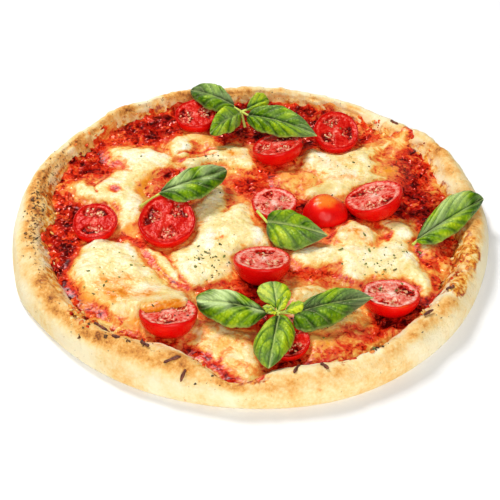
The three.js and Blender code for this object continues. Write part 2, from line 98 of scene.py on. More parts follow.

# Tomato halves: middle of the cut face, half sizes, way up and tilt in degrees, seed chambers and the turn
# of the first in degrees, paleness of the cut, partly painted sheen of light off the wet face
TOMATOES = [
    ("left", (-91, -10, 15), (13, 14.5, 12), 90, 6, 2, 90, 0.08),
    ("left_large", (-49, -11, 17), (16.5, 19, 14), 90, 8, 3, 40, 0.12),
    ("front_left", (-43.5, -87.5, 17.5), (15.5, 15.5, 14), -90, 15, 3, 30, 0.7),
    ("middle_front", (6, -46.5, 18), (16, 16, 15), -90, 17, 3, 85, 0.8),
    ("front_right", (75, -71.3, 15), (15.8, 15.5, 12), -90, 14, 3, 20, 0.92),
    ("right", (72.6, 10, 17.5), (17.5, 17, 14), -31, 19, 2, 100, 0.68),
    ("middle", (13.4, 8.5, 14), (13.5, 13.5, 11), 90, 3, 4, 25, 0.8),
    ("back_middle", (16.3, 64, 16.5), (16, 16, 13), -40, 15, 3, 60, 0.36),
    ("back_right", (54.5, 78.4, 17), (14.5, 17, 13), 90, 11, 3, 110, 0.12),
    ("back_left", (-36.5, 99, 16), (13.5, 14, 12), 90, 8, 2, 20, 0.15),
    ("front", (18, -103.5, 12.5), (12.5, 12, 9), 90, 4, 3, 70, 0.2),
    ("turned_over", (44, 4, REST), (13.5, 12.5, 11), 90, 180, 3, 0, 0.0),
]

# Pools of melted cheese: thickness, how far it is a thin film, width of its rounded edge, edge points
CHEESES = {
    "front_left": [
        (5.5, 0.0, 7, [(-80, -21), (-93, -25), (-99, -38), (-100, -53), (-95, -64), (-86, -73),
                       (-74, -82), (-63, -88), (-53, -88.5), (-43, -85), (-34, -79), (-34, -71),
                       (-38, -65), (-47, -59), (-55.5, -49), (-61.5, -38), (-67, -27)]),
    ],
    "middle": [
        (3.5, 0.3, 5, [(-62, -29), (-56, -28), (-48, -33), (-42, -42), (-36, -53), (-33, -61),
                       (-39, -60.5), (-46.5, -53), (-53.5, -43), (-58.5, -35)]),
        (3.5, 0.05, 5, [(-38, -27), (-28, -23), (-16, -18), (-4, -20), (4, -26), (-3, -29), (-10, -33),
                        (-12, -42), (-13, -51), (-24, -56), (-34, -62), (-38, -54), (-44, -43),
                        (-47, -31)]),
        (5, 0.0, 5, [(-18, 6), (-8, 10), (0, 5), (3, -6), (9, -14), (9, -24), (2, -28), (-8, -27),
                     (-16, -22), (-19, -8)]),
        (3.5, 0.1, 5, [(-35, 10), (-28, 20), (-20, 30), (-14, 22), (-13, 10), (-13, 0), (-14, -16),
                       (-24, -28), (-33, -26), (-33, -12), (-32, 0)]),
    ],
    "left": [
        (4, 0.05, 5, [(-90, 67), (-82, 70), (-70, 71), (-60, 68), (-53, 63), (-48, 57), (-48, 50),
                      (-56, 48), (-62, 44), (-72, 42), (-80, 46), (-80, 53), (-88, 60)]),
        (3.5, 0.1, 5, [(-80, 47), (-70, 46), (-63, 42), (-67, 34), (-70, 27), (-69, 20), (-66, 14),
                       (-68, 4), (-76, 4), (-82, 12), (-92, 15), (-101, 16), (-106, 22), (-107, 30),
                       (-103, 35), (-96, 33), (-88, 39)]),
        (3, 0.15, 4, [(-78, 8), (-68, 8), (-68, 0), (-71, -9), (-74, -12), (-77, -8), (-79, 0)]),
    ],
    "back_left": [
        (5, 0.1, 5, [(-52, 77), (-46, 79), (-41, 73), (-38, 64), (-40, 56), (-49, 60), (-54, 69)]),
        (3, 0.55, 4, [(-45, 77), (-38, 87), (-30, 86), (-22, 81), (-23, 76), (-33, 75)]),
        (4, 0.1, 5, [(-46, 50), (-42, 58), (-29, 62), (-24, 70), (-17, 74), (-8, 71), (-1, 69), (1, 60),
                     (3, 48), (-4, 45), (-12, 50), (-20, 53), (-30, 50), (-38, 47)]),
    ],
    "back_right": [
        (4, 0.05, 5, [(33, 60), (38, 68), (46, 65), (56, 64), (66, 67), (76, 68), (80, 62), (74, 58),
                      (78, 52), (76, 44), (68, 38), (58, 32), (50, 34), (44, 42), (37, 47),
                      (31, 51)]),
        (3.5, 0.1, 5, [(44, 42), (54, 44), (66, 43), (76, 42), (82, 38), (72, 33), (62, 29), (57, 22),
                       (48, 18), (40, 17), (34, 20), (36, 27), (43, 32)]),
        (3, 0.7, 5, [(70, 69), (82, 75), (92, 82), (100, 84), (103, 76), (96, 69), (84, 64),
                     (73, 62)]),
        (2.2, 1.55, 4, [(72, 56), (80, 58), (90, 57), (95, 48), (95, 36), (90, 31), (80, 38),
                        (70, 47)]),
    ],
    "right": [
        (4, 0.0, 6, [(52, -20), (62, -24), (72, -26), (80, -20), (86, -12), (90, -10), (92, -16),
                     (91, -24), (91, -32), (95, -40), (98, -50), (99, -60), (94, -68), (92, -58),
                     (85, -53), (75, -52), (64, -54), (57, -58), (51, -50), (50, -40), (48, -30)]),
        (3, 0.15, 4, [(76, -4), (88, -4), (95, -9), (94, -18), (88, -20), (82, -20), (78, -12)]),
        (6.5, 0.0, 5, [(50, -14), (57, -7), (65, -8), (71, -13), (72, -22), (66, -27), (56, -27),
                       (49, -24)]),
        (3, 0.2, 4, [(22, -32), (30, -28), (42, -26), (52, -28), (54, -38), (44, -42), (32, -42),
                     (25, -40)]),
    ],
    "front_right": [
        (3, 0.55, 5, [(20, -60), (30, -57), (42, -59), (52, -65), (58, -72), (61, -82), (54, -90),
                      (44, -95), (34, -94), (25, -88), (20, -75)]),
        (2.6, 1.0, 5, [(24, -89), (34, -90), (48, -91), (56, -98), (50, -104), (49, -113), (40, -116),
                       (31, -113), (29, -104), (26, -96)]),
    ],
    "front": [
        (2.6, 0.65, 5, [(-30, -89), (-20, -89), (-8, -92), (0, -95), (4, -106), (4, -120), (2, -130),
                        (-6, -130), (-14, -125), (-22, -117), (-29, -107), (-33, -102)]),
    ],
    "lump": [(4, 0.25, 4, [(97, -22), (103, -21), (107, -28), (104, -35), (98, -35), (96.5, -28)])],
    "back_middle": [(2.6, 1.1, 4, [(12, 42), (20, 46), (30, 46), (38, 43), (40, 36), (33, 31), (22, 31),
                                   (14, 34)])],
}
# Places where the sauce lies bare and dark: middle, half size, strength
BARE_SAUCE = [((-76, 88), (17, 16), 0.5), ((-100, 50), (15, 12), 1.0), ((-107, -38), (7, 20), 1.0),
              ((106, 34), (10, 28), 0.4), ((107, -32), (7, 16), 0.6), ((78, -94), (16, 8), 0.35),
              ((36, 113), (16, 8), 1.0), ((-4, 34), (9, 7), 0.35), ((-96, -72), (8, 14), 0.7),
              ((-52, 43), (8, 4), 0.5), ((-83, 25), (5, 3.5), 1.0), ((-99, 32), (4, 4), 0.7),
              ((4, 52), (4, 9), 0.4), ((-63, -27), (4, 5), 0.4), ((42, -50), (14, 5), 0.3),
              ((-24, -118), (8, 4), 0.6), ((52, -108), (10, 4), 0.5)]
# Folds and runs where the sauce shows through the cheese: half width, strength, points of the line
SEAMS = [(2.0, 0.55, [(-67, -20), (-60, -32), (-54, -44), (-46, -54), (-35, -62)]),
         (1.4, 0.45, [(-60, -25), (-52, -31), (-45, -40), (-40, -50), (-36, -58)]),
         (1.6, 0.55, [(-46, 62), (-36, 66), (-26, 68), (-18, 66)]),
         (1.4, 0.45, [(-44, 57), (-34, 60), (-24, 64)]), (3.0, 0.5, [(-30, -62), (-15, -57), (0, -52)]),
         (2.2, 0.45, [(46, -8), (47, -18), (52, -28)]), (1.8, 0.6, [(75, -8), (80, -14), (78, -22)]),
         (2.6, 0.55, [(-68, 24), (-62, 36), (-52, 44), (-45, 47)]),
         (1.0, 0.55, [(-88, 42), (-97, 31), (-96, 22)]),
         (2.5, 0.45, [(22, -48), (34, -46), (46, -50), (60, -57)]),
         (2.2, 0.5, [(-16, 18), (-11, 10), (-16, 4)]), (1.8, 0.5, [(-80, -20), (-72, -17), (-64, -22)]),
         (2.0, 0.45, [(34, 70), (40, 76), (44, 70)]),
         (1.4, 0.5, [(94, -20), (95, -37), (101, -48), (101, -60)]),
         (2.2, 0.85, [(-31, -107), (-25, -111), (-18, -119), (-11, -127)]),
         (2.0, 0.45, [(26, -92), (38, -98), (54, -96)]),
         (3.0, 0.5, [(-105, -56), (-97, -66), (-88, -75), (-80, -81)])]
# Toasted patches on the cheese, one of them painted shade: middle, half size, strength
TOASTED_AND_SHADE = [((-73, -57), (15, 7), 0.6), ((-54, -87), (13, 6), 0.6), ((-38, -83), (11, 5), 0.65),
           ((-78, -71), (18, 9), 0.5), ((-30, 81), (9, 4), 0.6), ((-60, 33), (6, 14), 0.55),
           ((-66, 27), (6, 12), 0.5), ((57, 36), (16, 3), 0.5), ((61, -18), (10, 8), 0.5),
           ((-73, -10), (6, 5), 0.6), ((40, -87), (16, 8), 0.4), ((-14, -103), (16, 9), 0.35),
           ((25, 38), (12, 6), 0.35), ((85, 45), (9, 11), 0.4), ((38, -104), (12, 9), 0.4),
           # The patch at (-22, 9) is painted shade: it warms the cheese where the shadow of leaf_left falls
           ((-48, -48), (8, 14), 0.25), ((102, -28), (4, 6), 0.5), ((-22, 9), (8, 10), 0.34),
           ((-12, 58), (14, 9), 0.5), ((50, 50), (18, 12), 0.4), ((-58, -70), (14, 6), 0.4)]
# Slab of cheese that climbs the tomato in front of it: middle, half size, millimetres higher
FLAP = [((-46, -84), (21, 10), 7)]

# Basil: heart, foot of the stalk, and leaves with base, tip, widest point left and right, arch, lightness,
# taper (-1 narrow base and blunt tip, 1 round base and long tip) and painted sheen (minus for the right
# half)
SPRIGS = {
    "sprig_back": ((-6.5, 99, 18), (-4, 93, 9.6), [
        ((-11, 103.5, 19), (-40.5, 120.5, 20), (-25.5, 98, 20), (-21.5, 121, 23), 4, 0.35, -0.5, -0.35),
        ((-7, 94.5, 19), (-26, 70.5, 20), (-10, 77, 20), (-19, 96, 22), 4, 0.5, -0.4, 0.2),
        ((-3, 99.5, 19), (11.5, 107, 21), (4, 107.5, 27), (7, 99, 20), 2, 0.6, 0, 0.2),
        ((-2, 92.5, 19), (41.5, 67, 21), (22, 92.5, 25), (12.5, 70.5, 20), 5, 0.34, 0.6, 0.14)]),
    "sprig_front": ((13.5, -87, 16), (13, -81, 9.6), [
        ((8.5, -87.5, 16.5), (-29, -79, 17), (-8, -98.5, 17), (-12, -74, 19), 4, 0.33, -0.8, -1.2),
        ((14, -85, 17), (11.5, -74, 26), (3, -78, 22), (21, -78, 22), 1, 0.62, -0.4, 0.3),
        ((23, -88, 16.5), (64.5, -78.5, 19), (46.5, -73, 20), (37, -98, 16), 4, 0.25, 1, 0.16),
        ((14.5, -90, 17), (8.5, -127, 17), (22, -106.5, 18), (1, -110.5, 18), 3, 0.56, 0.3, -0.22),
        ((12.5, -86.5, 17), (6, -85, 18.5), (8.5, -88.5, 18), (10, -84.5, 19), 1, 0.84, 0, 0.15),
        ((18, -87, 17), (27.5, -83, 19.5), (21.5, -83.5, 20), (25, -89, 18.5), 1, 0.78, 0, 0.15),
        ((14, -86.5, 17), (18, -80, 22), (13.5, -82, 20), (18.5, -84.5, 19.5), 1, 0.85, 0, 0.15),
        ((13, -87.5, 17), (9, -91, 20), (9.5, -87.5, 19.5), (12.5, -91, 19), 1, 0.8, 0, 0.15)]),
    "leaf_left": ((-54.5, 9, 20), (-66, 6.5, 12.5), [
        ((-54.5, 9, 20.5), (-15, 31.5, 20), (-37, 28.5, 23), (-33.5, 1.5, 22), 2, 0.34, -0.5, 0.95)]),
    "leaf_middle": ((9.5, -10.5, 14), (3.5, -1, 15.2), [
        ((9.5, -10.5, 14.5), (43.5, -23, 15), (23, -7.5, 20), (21, -32.5, 13), 3, 0.43, 0.8, -0.1)]),
    "leaf_right": ((94.5, -25, 12.5), (92, -28, 12.5), [
        ((94.5, -25, 13), (136.5, 4.5, 19.4), (117, 7, 20.4), (113, -26.5, 17.9), 3, 0.42, 0, 0.65)]),
}
LEAF_WIDEST = 0.45
LEAF_HALF_THICKNESS = 0.32
VEIN_SPACING = 8.5
STALK_RADIUS = 0.85
LEAF_STALK_RADIUS = 0.75
# Rows and columns of a leaf's grid, fewer for young leaves, which are up to 12 mm long
LEAF_GRID = (110, 65)
YOUNG_LEAF_GRID = (60, 41)
YOUNG_LEAF = 12

# Small balls: length, width and thickness; how many seeds a tomato half has at most
SEED_SIZE = (2.1, 1.5, 0.9)
SEEDS_EACH = 15
SPATTER_SIZE = (3.4, 2.4, 1.0)

# Camera of the photograph: distance from its aim, degrees above the table, aim, and focal length as a share
# of the picture's side
CAMERA_DISTANCE = 620
CAMERA_ELEVATION = 41.2
CAMERA_AIM = (-0.8, -18.4)
FOCAL_SHARE = 1061 / 500
SENSOR_WIDTH = 36


# Small mathematics

def smooth(low, high, value):
    """Smooth step: 0 below low, 1 above high, and 3t squared minus 2t cubed between them."""
    t = np.clip((value - low) / (high - low), 0, 1)
    return t * t * (3 - 2 * t)


def field(x, y, size, seed):
    """Smooth random field from -1 to 1 with swells about size across: random numbers on a square lattice,
    blended between the four corners of each cell by the smooth step."""
    table = np.random.default_rng(seed).uniform(-1, 1, (LATTICE, LATTICE))
    u, v = x / size, y / size
    column, row = np.floor(u).astype(int), np.floor(v).astype(int)
    a, b = smooth(0, 1, u - column), smooth(0, 1, v - row)
    near, far = column % LATTICE, (column + 1) % LATTICE
    low, high = row % LATTICE, (row + 1) % LATTICE
    return ((table[near, low] * (1 - a) + table[far, low] * a) * (1 - b)
            + (table[near, high] * (1 - a) + table[far, high] * a) * b)


def layered(x, y, size, seed, layers):
    """Sum of fields, each about half the size and height of the one before and turned 35 degrees on."""
    total, height = 0, 1
    for layer in range(layers):
        turn = 0.61 * (layer + 1)
        u = x * np.cos(turn) + y * np.sin(turn)
        v = y * np.cos(turn) - x * np.sin(turn)
        total = total + height * field(u, v, size, seed + layer)
        size, height = size * 0.47, height * 0.5
    return total


def patches(x, y, spots):
    """Sum of soft oval patches, each its strength times exp(-(distance over its half size) squared)."""
    total = np.zeros_like(x)
    for (across, along), (wide, deep), strength in spots:
        total += strength * np.exp(-(((x - across) / wide) ** 2 + ((y - along) / deep) ** 2))
    return total


def closed_curve(points, steps=8):
    """Closed curve through points: each stretch is a cubic that at both its ends runs along the chord
    between the points on either side."""
    here = np.array(points, float)
    before, after, later = np.roll(here, 1, 0), np.roll(here, -1, 0), np.roll(here, -2, 0)
    t = (np.arange(steps) / steps)[:, None, None]
    curve = 0.5 * (2 * here + (after - before) * t + (2 * before - 5 * here + 4 * after - later) * t ** 2
                   + (3 * here - before - 3 * after + later) * t ** 3)
    return curve.transpose(1, 0, 2).reshape(-1, 2)


def stretch_distance(x, y, start, end):
    """Distance from each point to the nearest of the straight stretches from start to end."""
    side = end - start
    to_x, to_y = x[..., None] - start[:, 0], y[..., None] - start[:, 1]
    along = np.clip((to_x * side[:, 0] + to_y * side[:, 1]) / (side ** 2).sum(1), 0, 1)
    return np.hypot(to_x - along * side[:, 0], to_y - along * side[:, 1]).min(-1)


def inside_depth(x, y, outline):
    """Distance from each point to a closed outline, positive inside it by the even-odd rule."""
    start, end = outline, np.roll(outline, -1, 0)
    side = end - start
    rise = np.where(np.abs(side[:, 1]) < 1e-9, 1e-9, side[:, 1])
    spans = (start[:, 1] > y[..., None]) != (end[:, 1] > y[..., None])
    left_of = x[..., None] - start[:, 0] < (y[..., None] - start[:, 1]) * side[:, 0] / rise
    crossings = (spans & left_of).sum(-1)
    return stretch_distance(x, y, start, end) * np.where(crossings % 2 == 1, 1, -1)


def runs(x, y, lines):
    """Soft bands along open lines that a random field bends: the greatest of each band's strength times
    exp(-(distance over half width) squared)."""
    bent_x = x + 1.6 * layered(x, y, size=8, seed=171, layers=2)
    bent_y = y + 1.6 * layered(x, y, size=8, seed=181, layers=2)
    bands = []
    for wide, strength, line in lines:
        start, end = np.array(line[:-1], float), np.array(line[1:], float)
        bands.append(strength * np.exp(-(stretch_distance(bent_x, bent_y, start, end) / wide) ** 2))
    return np.array(bands).max(0)


def unit(vectors):
    """Vectors brought to length one."""
    return vectors / np.maximum(np.linalg.norm(vectors, axis=-1, keepdims=True), 1e-12)


# Meshes from arrays

def grid_quads(rows, columns):
    """Corners of the quads of a grid stored row by row whose last column runs on to its first."""
    row = np.arange(rows - 1)[:, None] * columns
    column = np.arange(columns)[None, :]
    ahead = (column + 1) % columns
    corners = [row + column, row + ahead, row + columns + ahead, row + columns + column]
    return np.stack(corners, -1).reshape(-1, 4)


def closed_grid(points):
    """Vertices and faces of a skin of rings that run outward, up and in again, both end rings filled."""
    rows, columns = points.shape[:2]
    faces = grid_quads(rows, columns).tolist()
    faces.append(list(range(columns))[::-1])
    faces.append(list(range((rows - 1) * columns, rows * columns)))
    return points.reshape(-1, 3), faces


def outward(points):
    """Unit normals of a grid whose columns run round: the cross product of its slopes round and along."""
    return unit(np.cross(np.roll(points, -1, 1) - np.roll(points, 1, 1), np.gradient(points, axis=0)))


def tube(path, radii, sides):
    """Closed tube: a circle of each radius carried along the path at right angles to it."""
    path = np.array(path, float)
    along = unit(np.gradient(path, axis=0))
    across = unit(np.cross(along, np.array([0.31, 0.17, 0.93])))
    up = np.cross(along, across)
    turn = np.linspace(0, 2 * np.pi, sides, endpoint=False)[None, :, None]
    ring = across[:, None] * np.cos(turn) + up[:, None] * np.sin(turn)
    return path[:, None] + ring * np.array(radii, float)[:, None, None]


def make_piece(name, points, faces, material, nodes=(), values=None):
    """New object at the origin from points in millimetres, with values per point for its material."""
    mesh = bpy.data.meshes.new(name)
    mesh.from_pydata((np.asarray(points) * MM).tolist(), [], faces)
    mesh.shade_smooth()
    for label, numbers in (values or {}).items():
        layer = mesh.attributes.new(label, "FLOAT", "POINT")
        layer.data.foreach_set("value", np.asarray(numbers, np.float32).ravel())
    mesh.materials.append(material)
    piece = bpy.data.objects.new(name, mesh)
    bpy.context.scene.collection.objects.link(piece)
    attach(piece, "root")
    if nodes:
        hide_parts(*nodes)


def joined(parts):
    """One list of points, faces and values from several, with the corner numbers moved on."""
    points, faces, values, count = [], [], [], 0
    for part_points, part_faces, part_values in parts:
        points.append(part_points)
        faces += [[corner + count for corner in face] for face in part_faces]
        values.append(part_values)
        count += len(part_points)
    merged = {label: np.concatenate([part[label] for part in values]) for label in values[0]}
    return np.concatenate(points), faces, merged


# Materials

def ink(text):
    """Linear colour of an sRGB hex value."""
    parts = [int(text[i:i + 2], 16) / 255 for i in (1, 3, 5)]
    return (*[p / 12.92 if p <= 0.04045 else ((p + 0.055) / 1.055) ** 2.4 for p in parts], 1)


def per_mm(size):
    """Texture scale whose features are about size millimetres across."""
    return 1 / (size * MM)


def node(tree, kind, inputs=None, stops=(), out=0, **settings):
    """Adds a shader node with its settings: each input is a value or the socket that feeds it, and stops
    fill a colour ramp."""
    made = tree.nodes.new("ShaderNode" + kind)
    for label, value in settings.items():
        setattr(made, label, value)
    for label, value in (inputs or {}).items():
        if isinstance(value, bpy.types.NodeSocket):
            tree.links.new(value, made.inputs[label])
        else:
            made.inputs[label].default_value = value
    for index, (place, colour) in enumerate(stops):
        stop = made.color_ramp.elements[index] if index < 2 else made.color_ramp.elements.new(place)
        stop.position = place
        stop.color = ink(colour)
    return made.outputs[out]


def new_material(name):
    """Empty material: its node tree, its shader and the Object coordinates."""
    material = bpy.data.materials.new(name)
    material.use_nodes = True
    tree = material.node_tree
    shader = tree.nodes["Principled BSDF"]
    place = node(tree, "TexCoord", out="Object")
    return material, tree, shader, place


def finish_material(tree, shader, colour, roughness, height, depth, **constants):
    """Links colour, roughness and a height to bump by depth millimetres, and sets the shader's
    constants."""
    tree.links.new(colour, shader.inputs["Base Color"])
    tree.links.new(roughness, shader.inputs["Roughness"])
    bump = node(tree, "Bump", {"Height": height, "Strength": 1.0, "Distance": depth * MM})
    tree.links.new(bump, shader.inputs["Normal"])
    for label, value in constants.items():
        shader.inputs[label.replace("_", " ")].default_value = value


def bread_material():
    """Baked wheat bread: floury cream where it is least baked, golden to brown where it is most, mottled
    in clouds of 6 mm and crumb of 1.6 mm, with burnt specks of 2 mm. Orange in blots of 4 mm where cheese
    and sauce ran onto it. Dull, and shinier on the runs. Its bake value also holds painted light that
    makes the back of the crown lighter."""
    material, tree, shader, place = new_material("baked_bread")
    # The bake value holds the bake and painted light on the back of the crown
    bake_and_light, speck, stain = (node(tree, "Attribute", out="Fac", attribute_name=label)
                          for label in ("bake_and_light", "speck", "stain"))
    # Mottled crust
    cloud = node(tree, "TexNoise", {"Vector": place, "Scale": per_mm(6), "Detail": 5, "Roughness": 0.62})
    crumb = node(tree, "TexNoise", {"Vector": place, "Scale": per_mm(1.6), "Detail": 4, "Roughness": 0.6})
    shift = node(tree, "Math", {0: cloud, 1: 1.3, 2: -0.65}, operation="MULTIPLY_ADD")
    fine = node(tree, "Math", {0: crumb, 1: 0.9, 2: -0.45}, operation="MULTIPLY_ADD")
    mottle = node(tree, "Math", {0: shift, 1: fine}, operation="ADD")
    strength = node(tree, "Math", {0: bake_and_light, 1: 0.9, 2: 0.28}, operation="MULTIPLY_ADD")
    mixed = node(tree, "Math", {0: mottle, 1: strength, 2: bake_and_light}, operation="MULTIPLY_ADD")
    golden = node(tree, "ValToRGB", {"Fac": mixed}, stops=[
        (0.0, "#f9eac2"), (1.0, "#80451a"), (0.2, "#f6dca2"), (0.4, "#f2c67c"), (0.6, "#e6a44e"),
        (0.8, "#c47c32")])
    # Burnt specks
    spots = node(tree, "TexNoise", {"Vector": place, "Scale": per_mm(1.9), "Detail": 2, "Roughness": 0.5})
    many = node(tree, "Math", {0: speck, 1: 0.13, 2: spots}, operation="MULTIPLY_ADD")
    burnt_here = node(tree, "MapRange", {"Value": many, "From Min": 0.71, "From Max": 0.79, "To Max": 0.85})
    dark = node(tree, "MixRGB", {"Fac": burnt_here, "Color1": golden, "Color2": ink("#74401c")})
    # Runs of cheese and sauce
    uneven = node(tree, "Math", {0: cloud, 1: 2.2, 2: -1.1}, operation="MULTIPLY_ADD")
    wet = node(tree, "Math", {0: stain, 1: uneven}, operation="ADD", use_clamp=True)
    blots = node(tree, "TexNoise", {"Vector": place, "Scale": per_mm(4), "Detail": 4, "Roughness": 0.6})
    run_colour = node(tree, "ValToRGB", {"Fac": blots}, stops=[
        (0.38, "#ac450c"), (0.62, "#fce2a0"), (0.46, "#de7e1c"), (0.53, "#f2b448")])
    shown = node(tree, "MapRange", {"Value": wet, "From Min": 0.35, "From Max": 0.7})
    colour = node(tree, "MixRGB", {"Fac": shown, "Color1": dark, "Color2": run_colour})
    gloss = node(tree, "MapRange", {"Value": shown, "To Min": 0.78, "To Max": 0.42})
    finish_material(tree, shader, colour, gloss, crumb, depth=0.5, Specular_IOR_Level=0.35,
                    Subsurface_Weight=0.12, Subsurface_Radius=(0.004, 0.002, 0.001), Subsurface_Scale=1.0)
    return material


def topping_colour(tree, place, cover, toast_and_shade):
    """Colour that sauce and cheese share, so that one runs into the other: dark to bright red pulp in
    pieces of 8 mm with lighter shreds and dark gaps of 3.4 mm, whose darkest parts are partly the sauce's
    own deep red and partly painted crevice shade; orange, pink and yellow film by how much cheese covers
    it; then milk white to butter yellow in swirls of 15 mm with specks of 1.5 mm; tan to orange where it
    toasted, and a painted warm shade under a leaf. Also gives the shreds, the swirls and the veil of cheese."""
    pulp = node(tree, "TexNoise", {"Vector": place, "Scale": per_mm(8), "Detail": 4, "Roughness": 0.55,
                                   "Distortion": 1.0})
    shreds = node(tree, "TexNoise", {"Vector": place, "Scale": per_mm(3.4), "Detail": 3, "Roughness": 0.58,
                                     "Distortion": 1.6})
    swirl = node(tree, "TexNoise", {"Vector": place, "Scale": per_mm(15), "Detail": 4, "Roughness": 0.6,
                                    "Distortion": 0.8})
    # Bare sauce: red pulp whose darkest parts and gaps are partly its own deep red and partly painted
    # crevice shade
    ripe = node(tree, "Math", {0: cover, 1: 0.8, 2: pulp}, operation="MULTIPLY_ADD")
    red = node(tree, "ValToRGB", {"Fac": ripe}, stops=[
        (0.39, "#400303"), (0.66, "#e63410"), (0.47, "#7c0805"), (0.56, "#ba160a")])
    light = node(tree, "MapRange", {"Value": shreds, "From Min": 0.51, "From Max": 0.64, "To Max": 0.8})
    tint = node(tree, "MixRGB", {"Fac": cover, "Color1": ink("#c82414"), "Color2": ink("#fca058")})
    bright = node(tree, "MixRGB", {"Fac": light, "Color1": red, "Color2": tint})
    # Dark gaps between the shreds: partly deep red sauce, partly painted crevice shade
    gap_shade = node(tree, "MapRange", {"Value": shreds, "From Min": 0.47, "From Max": 0.37, "To Max": 0.75})
    wet = node(tree, "MixRGB", {"Fac": gap_shade, "Color1": bright, "Color2": ink("#2e0202")})
    # Film of cheese over it
    fine = node(tree, "Math", {0: shreds, 1: 0.6, 2: -0.3}, operation="MULTIPLY_ADD")
    coarse = node(tree, "Math", {0: pulp, 1: 1.1, 2: -0.55}, operation="MULTIPLY_ADD")
    noise = node(tree, "Math", {0: fine, 1: coarse}, operation="ADD")
    cheese = node(tree, "Math", {0: cover, 1: noise}, operation="ADD", use_clamp=True)
    film = node(tree, "ValToRGB", {"Fac": cheese}, stops=[
        (0.16, "#c81e0b"), (0.92, "#fae6a4"), (0.34, "#e0521e"), (0.52, "#ec933e"), (0.7, "#f4c766")])
    pink = node(tree, "MapRange", {"Value": swirl, "From Min": 0.48, "From Max": 0.64, "To Max": 0.2})
    blush = node(tree, "MixRGB", {"Fac": pink, "Color1": film, "Color2": ink("#ea8a70")})
    veil = node(tree, "MapRange", {"Value": cheese, "From Min": 0.14, "From Max": 0.42})
    filmed = node(tree, "MixRGB", {"Fac": veil, "Color1": wet, "Color2": blush})
    # Thick cheese
    milk = node(tree, "ValToRGB", {"Fac": swirl}, stops=[
        (0.34, "#ecd484"), (0.66, "#fffde6"), (0.5, "#fbebb0")])
    grains = node(tree, "MapRange", {"Value": shreds, "From Min": 0.52, "From Max": 0.66, "To Max": 0.36})
    grained = node(tree, "MixRGB", {"Fac": grains, "Color1": milk, "Color2": ink("#dfa756")})
    specks = node(tree, "TexNoise", {"Vector": place, "Scale": per_mm(1.5), "Detail": 3, "Roughness": 0.6})
    speckle = node(tree, "MapRange", {"Value": specks, "From Min": 0.55, "From Max": 0.7, "To Max": 0.4})
    speckled = node(tree, "MixRGB", {"Fac": speckle, "Color1": grained, "Color2": ink("#d89a48")})
    full = node(tree, "MapRange", {"Value": cheese, "From Min": 0.6, "From Max": 0.95})
    cheesy = node(tree, "MixRGB", {"Fac": full, "Color1": filmed, "Color2": speckled})
    # Toasted places
    brown = node(tree, "Math", {0: toast_and_shade, 1: noise}, operation="ADD", use_clamp=True)
    toasted = node(tree, "ValToRGB", {"Fac": brown}, stops=[
        (0.2, "#f2c462"), (1.0, "#d06404"), (0.6, "#ee9618")])
    browning = node(tree, "MapRange", {"Value": brown, "From Min": 0.12, "From Max": 0.7, "To Max": 1.0})
    colour = node(tree, "MixRGB", {"Fac": browning, "Color1": cheesy, "Color2": toasted})
    return colour, shreds, swirl, veil


def sauce_material():
    """Cooked tomato sauce: shining wet shreds and dull dark gaps, partly painted crevice shade, folded in
    lumps of 11 mm where it lies bare and smoother under a film of cheese."""
    material, tree, shader, place = new_material("tomato_sauce")
    cover, toast_and_shade = (node(tree, "Attribute", out="Fac", attribute_name=label) for label in ("cover", "toast_and_shade"))
    colour, shreds, _, veil = topping_colour(tree, place, cover, toast_and_shade)
    gloss = node(tree, "MapRange", {"Value": shreds, "From Min": 0.38, "From Max": 0.6,
                                    "To Min": 0.4, "To Max": 0.1})
    shine = node(tree, "MapRange", {"Value": shreds, "From Min": 0.5, "From Max": 0.58,
                                    "To Min": 0.03, "To Max": 0.5})
    tree.links.new(shine, shader.inputs["Specular IOR Level"])
    bare = node(tree, "Math", {0: veil, 1: -0.7, 2: 1.0}, operation="MULTIPLY_ADD")
    folds = node(tree, "TexNoise", {"Vector": place, "Scale": per_mm(11), "Detail": 2, "Roughness": 0.5,
                                    "Distortion": 0.8}, noise_type="RIDGED_MULTIFRACTAL")
    lumps = node(tree, "Math", {0: folds, 1: bare}, operation="MULTIPLY")
    finish_material(tree, shader, colour, gloss, lumps, depth=1.1, Specular_Tint=ink("#ff8e78"))
    return material


def cheese_material():
    """Baked mozzarella: soft sheen, a curd grain of 3 mm and light that spreads under its surface."""
    material, tree, shader, place = new_material("baked_mozzarella")
    cover, toast_and_shade = (node(tree, "Attribute", out="Fac", attribute_name=label) for label in ("cover", "toast_and_shade"))
    colour, _, swirl, _ = topping_colour(tree, place, cover, toast_and_shade)
    gloss = node(tree, "MapRange", {"Value": swirl, "To Min": 0.24, "To Max": 0.5})
    curd = node(tree, "TexNoise", {"Vector": place, "Scale": per_mm(3), "Detail": 1.5, "Distortion": 0.4})
    finish_material(tree, shader, colour, gloss, curd, depth=0.6, Specular_IOR_Level=0.3,
                    Subsurface_Weight=0.15, Subsurface_Radius=(0.004, 0.0025, 0.001), Subsurface_Scale=1.0)
    return material


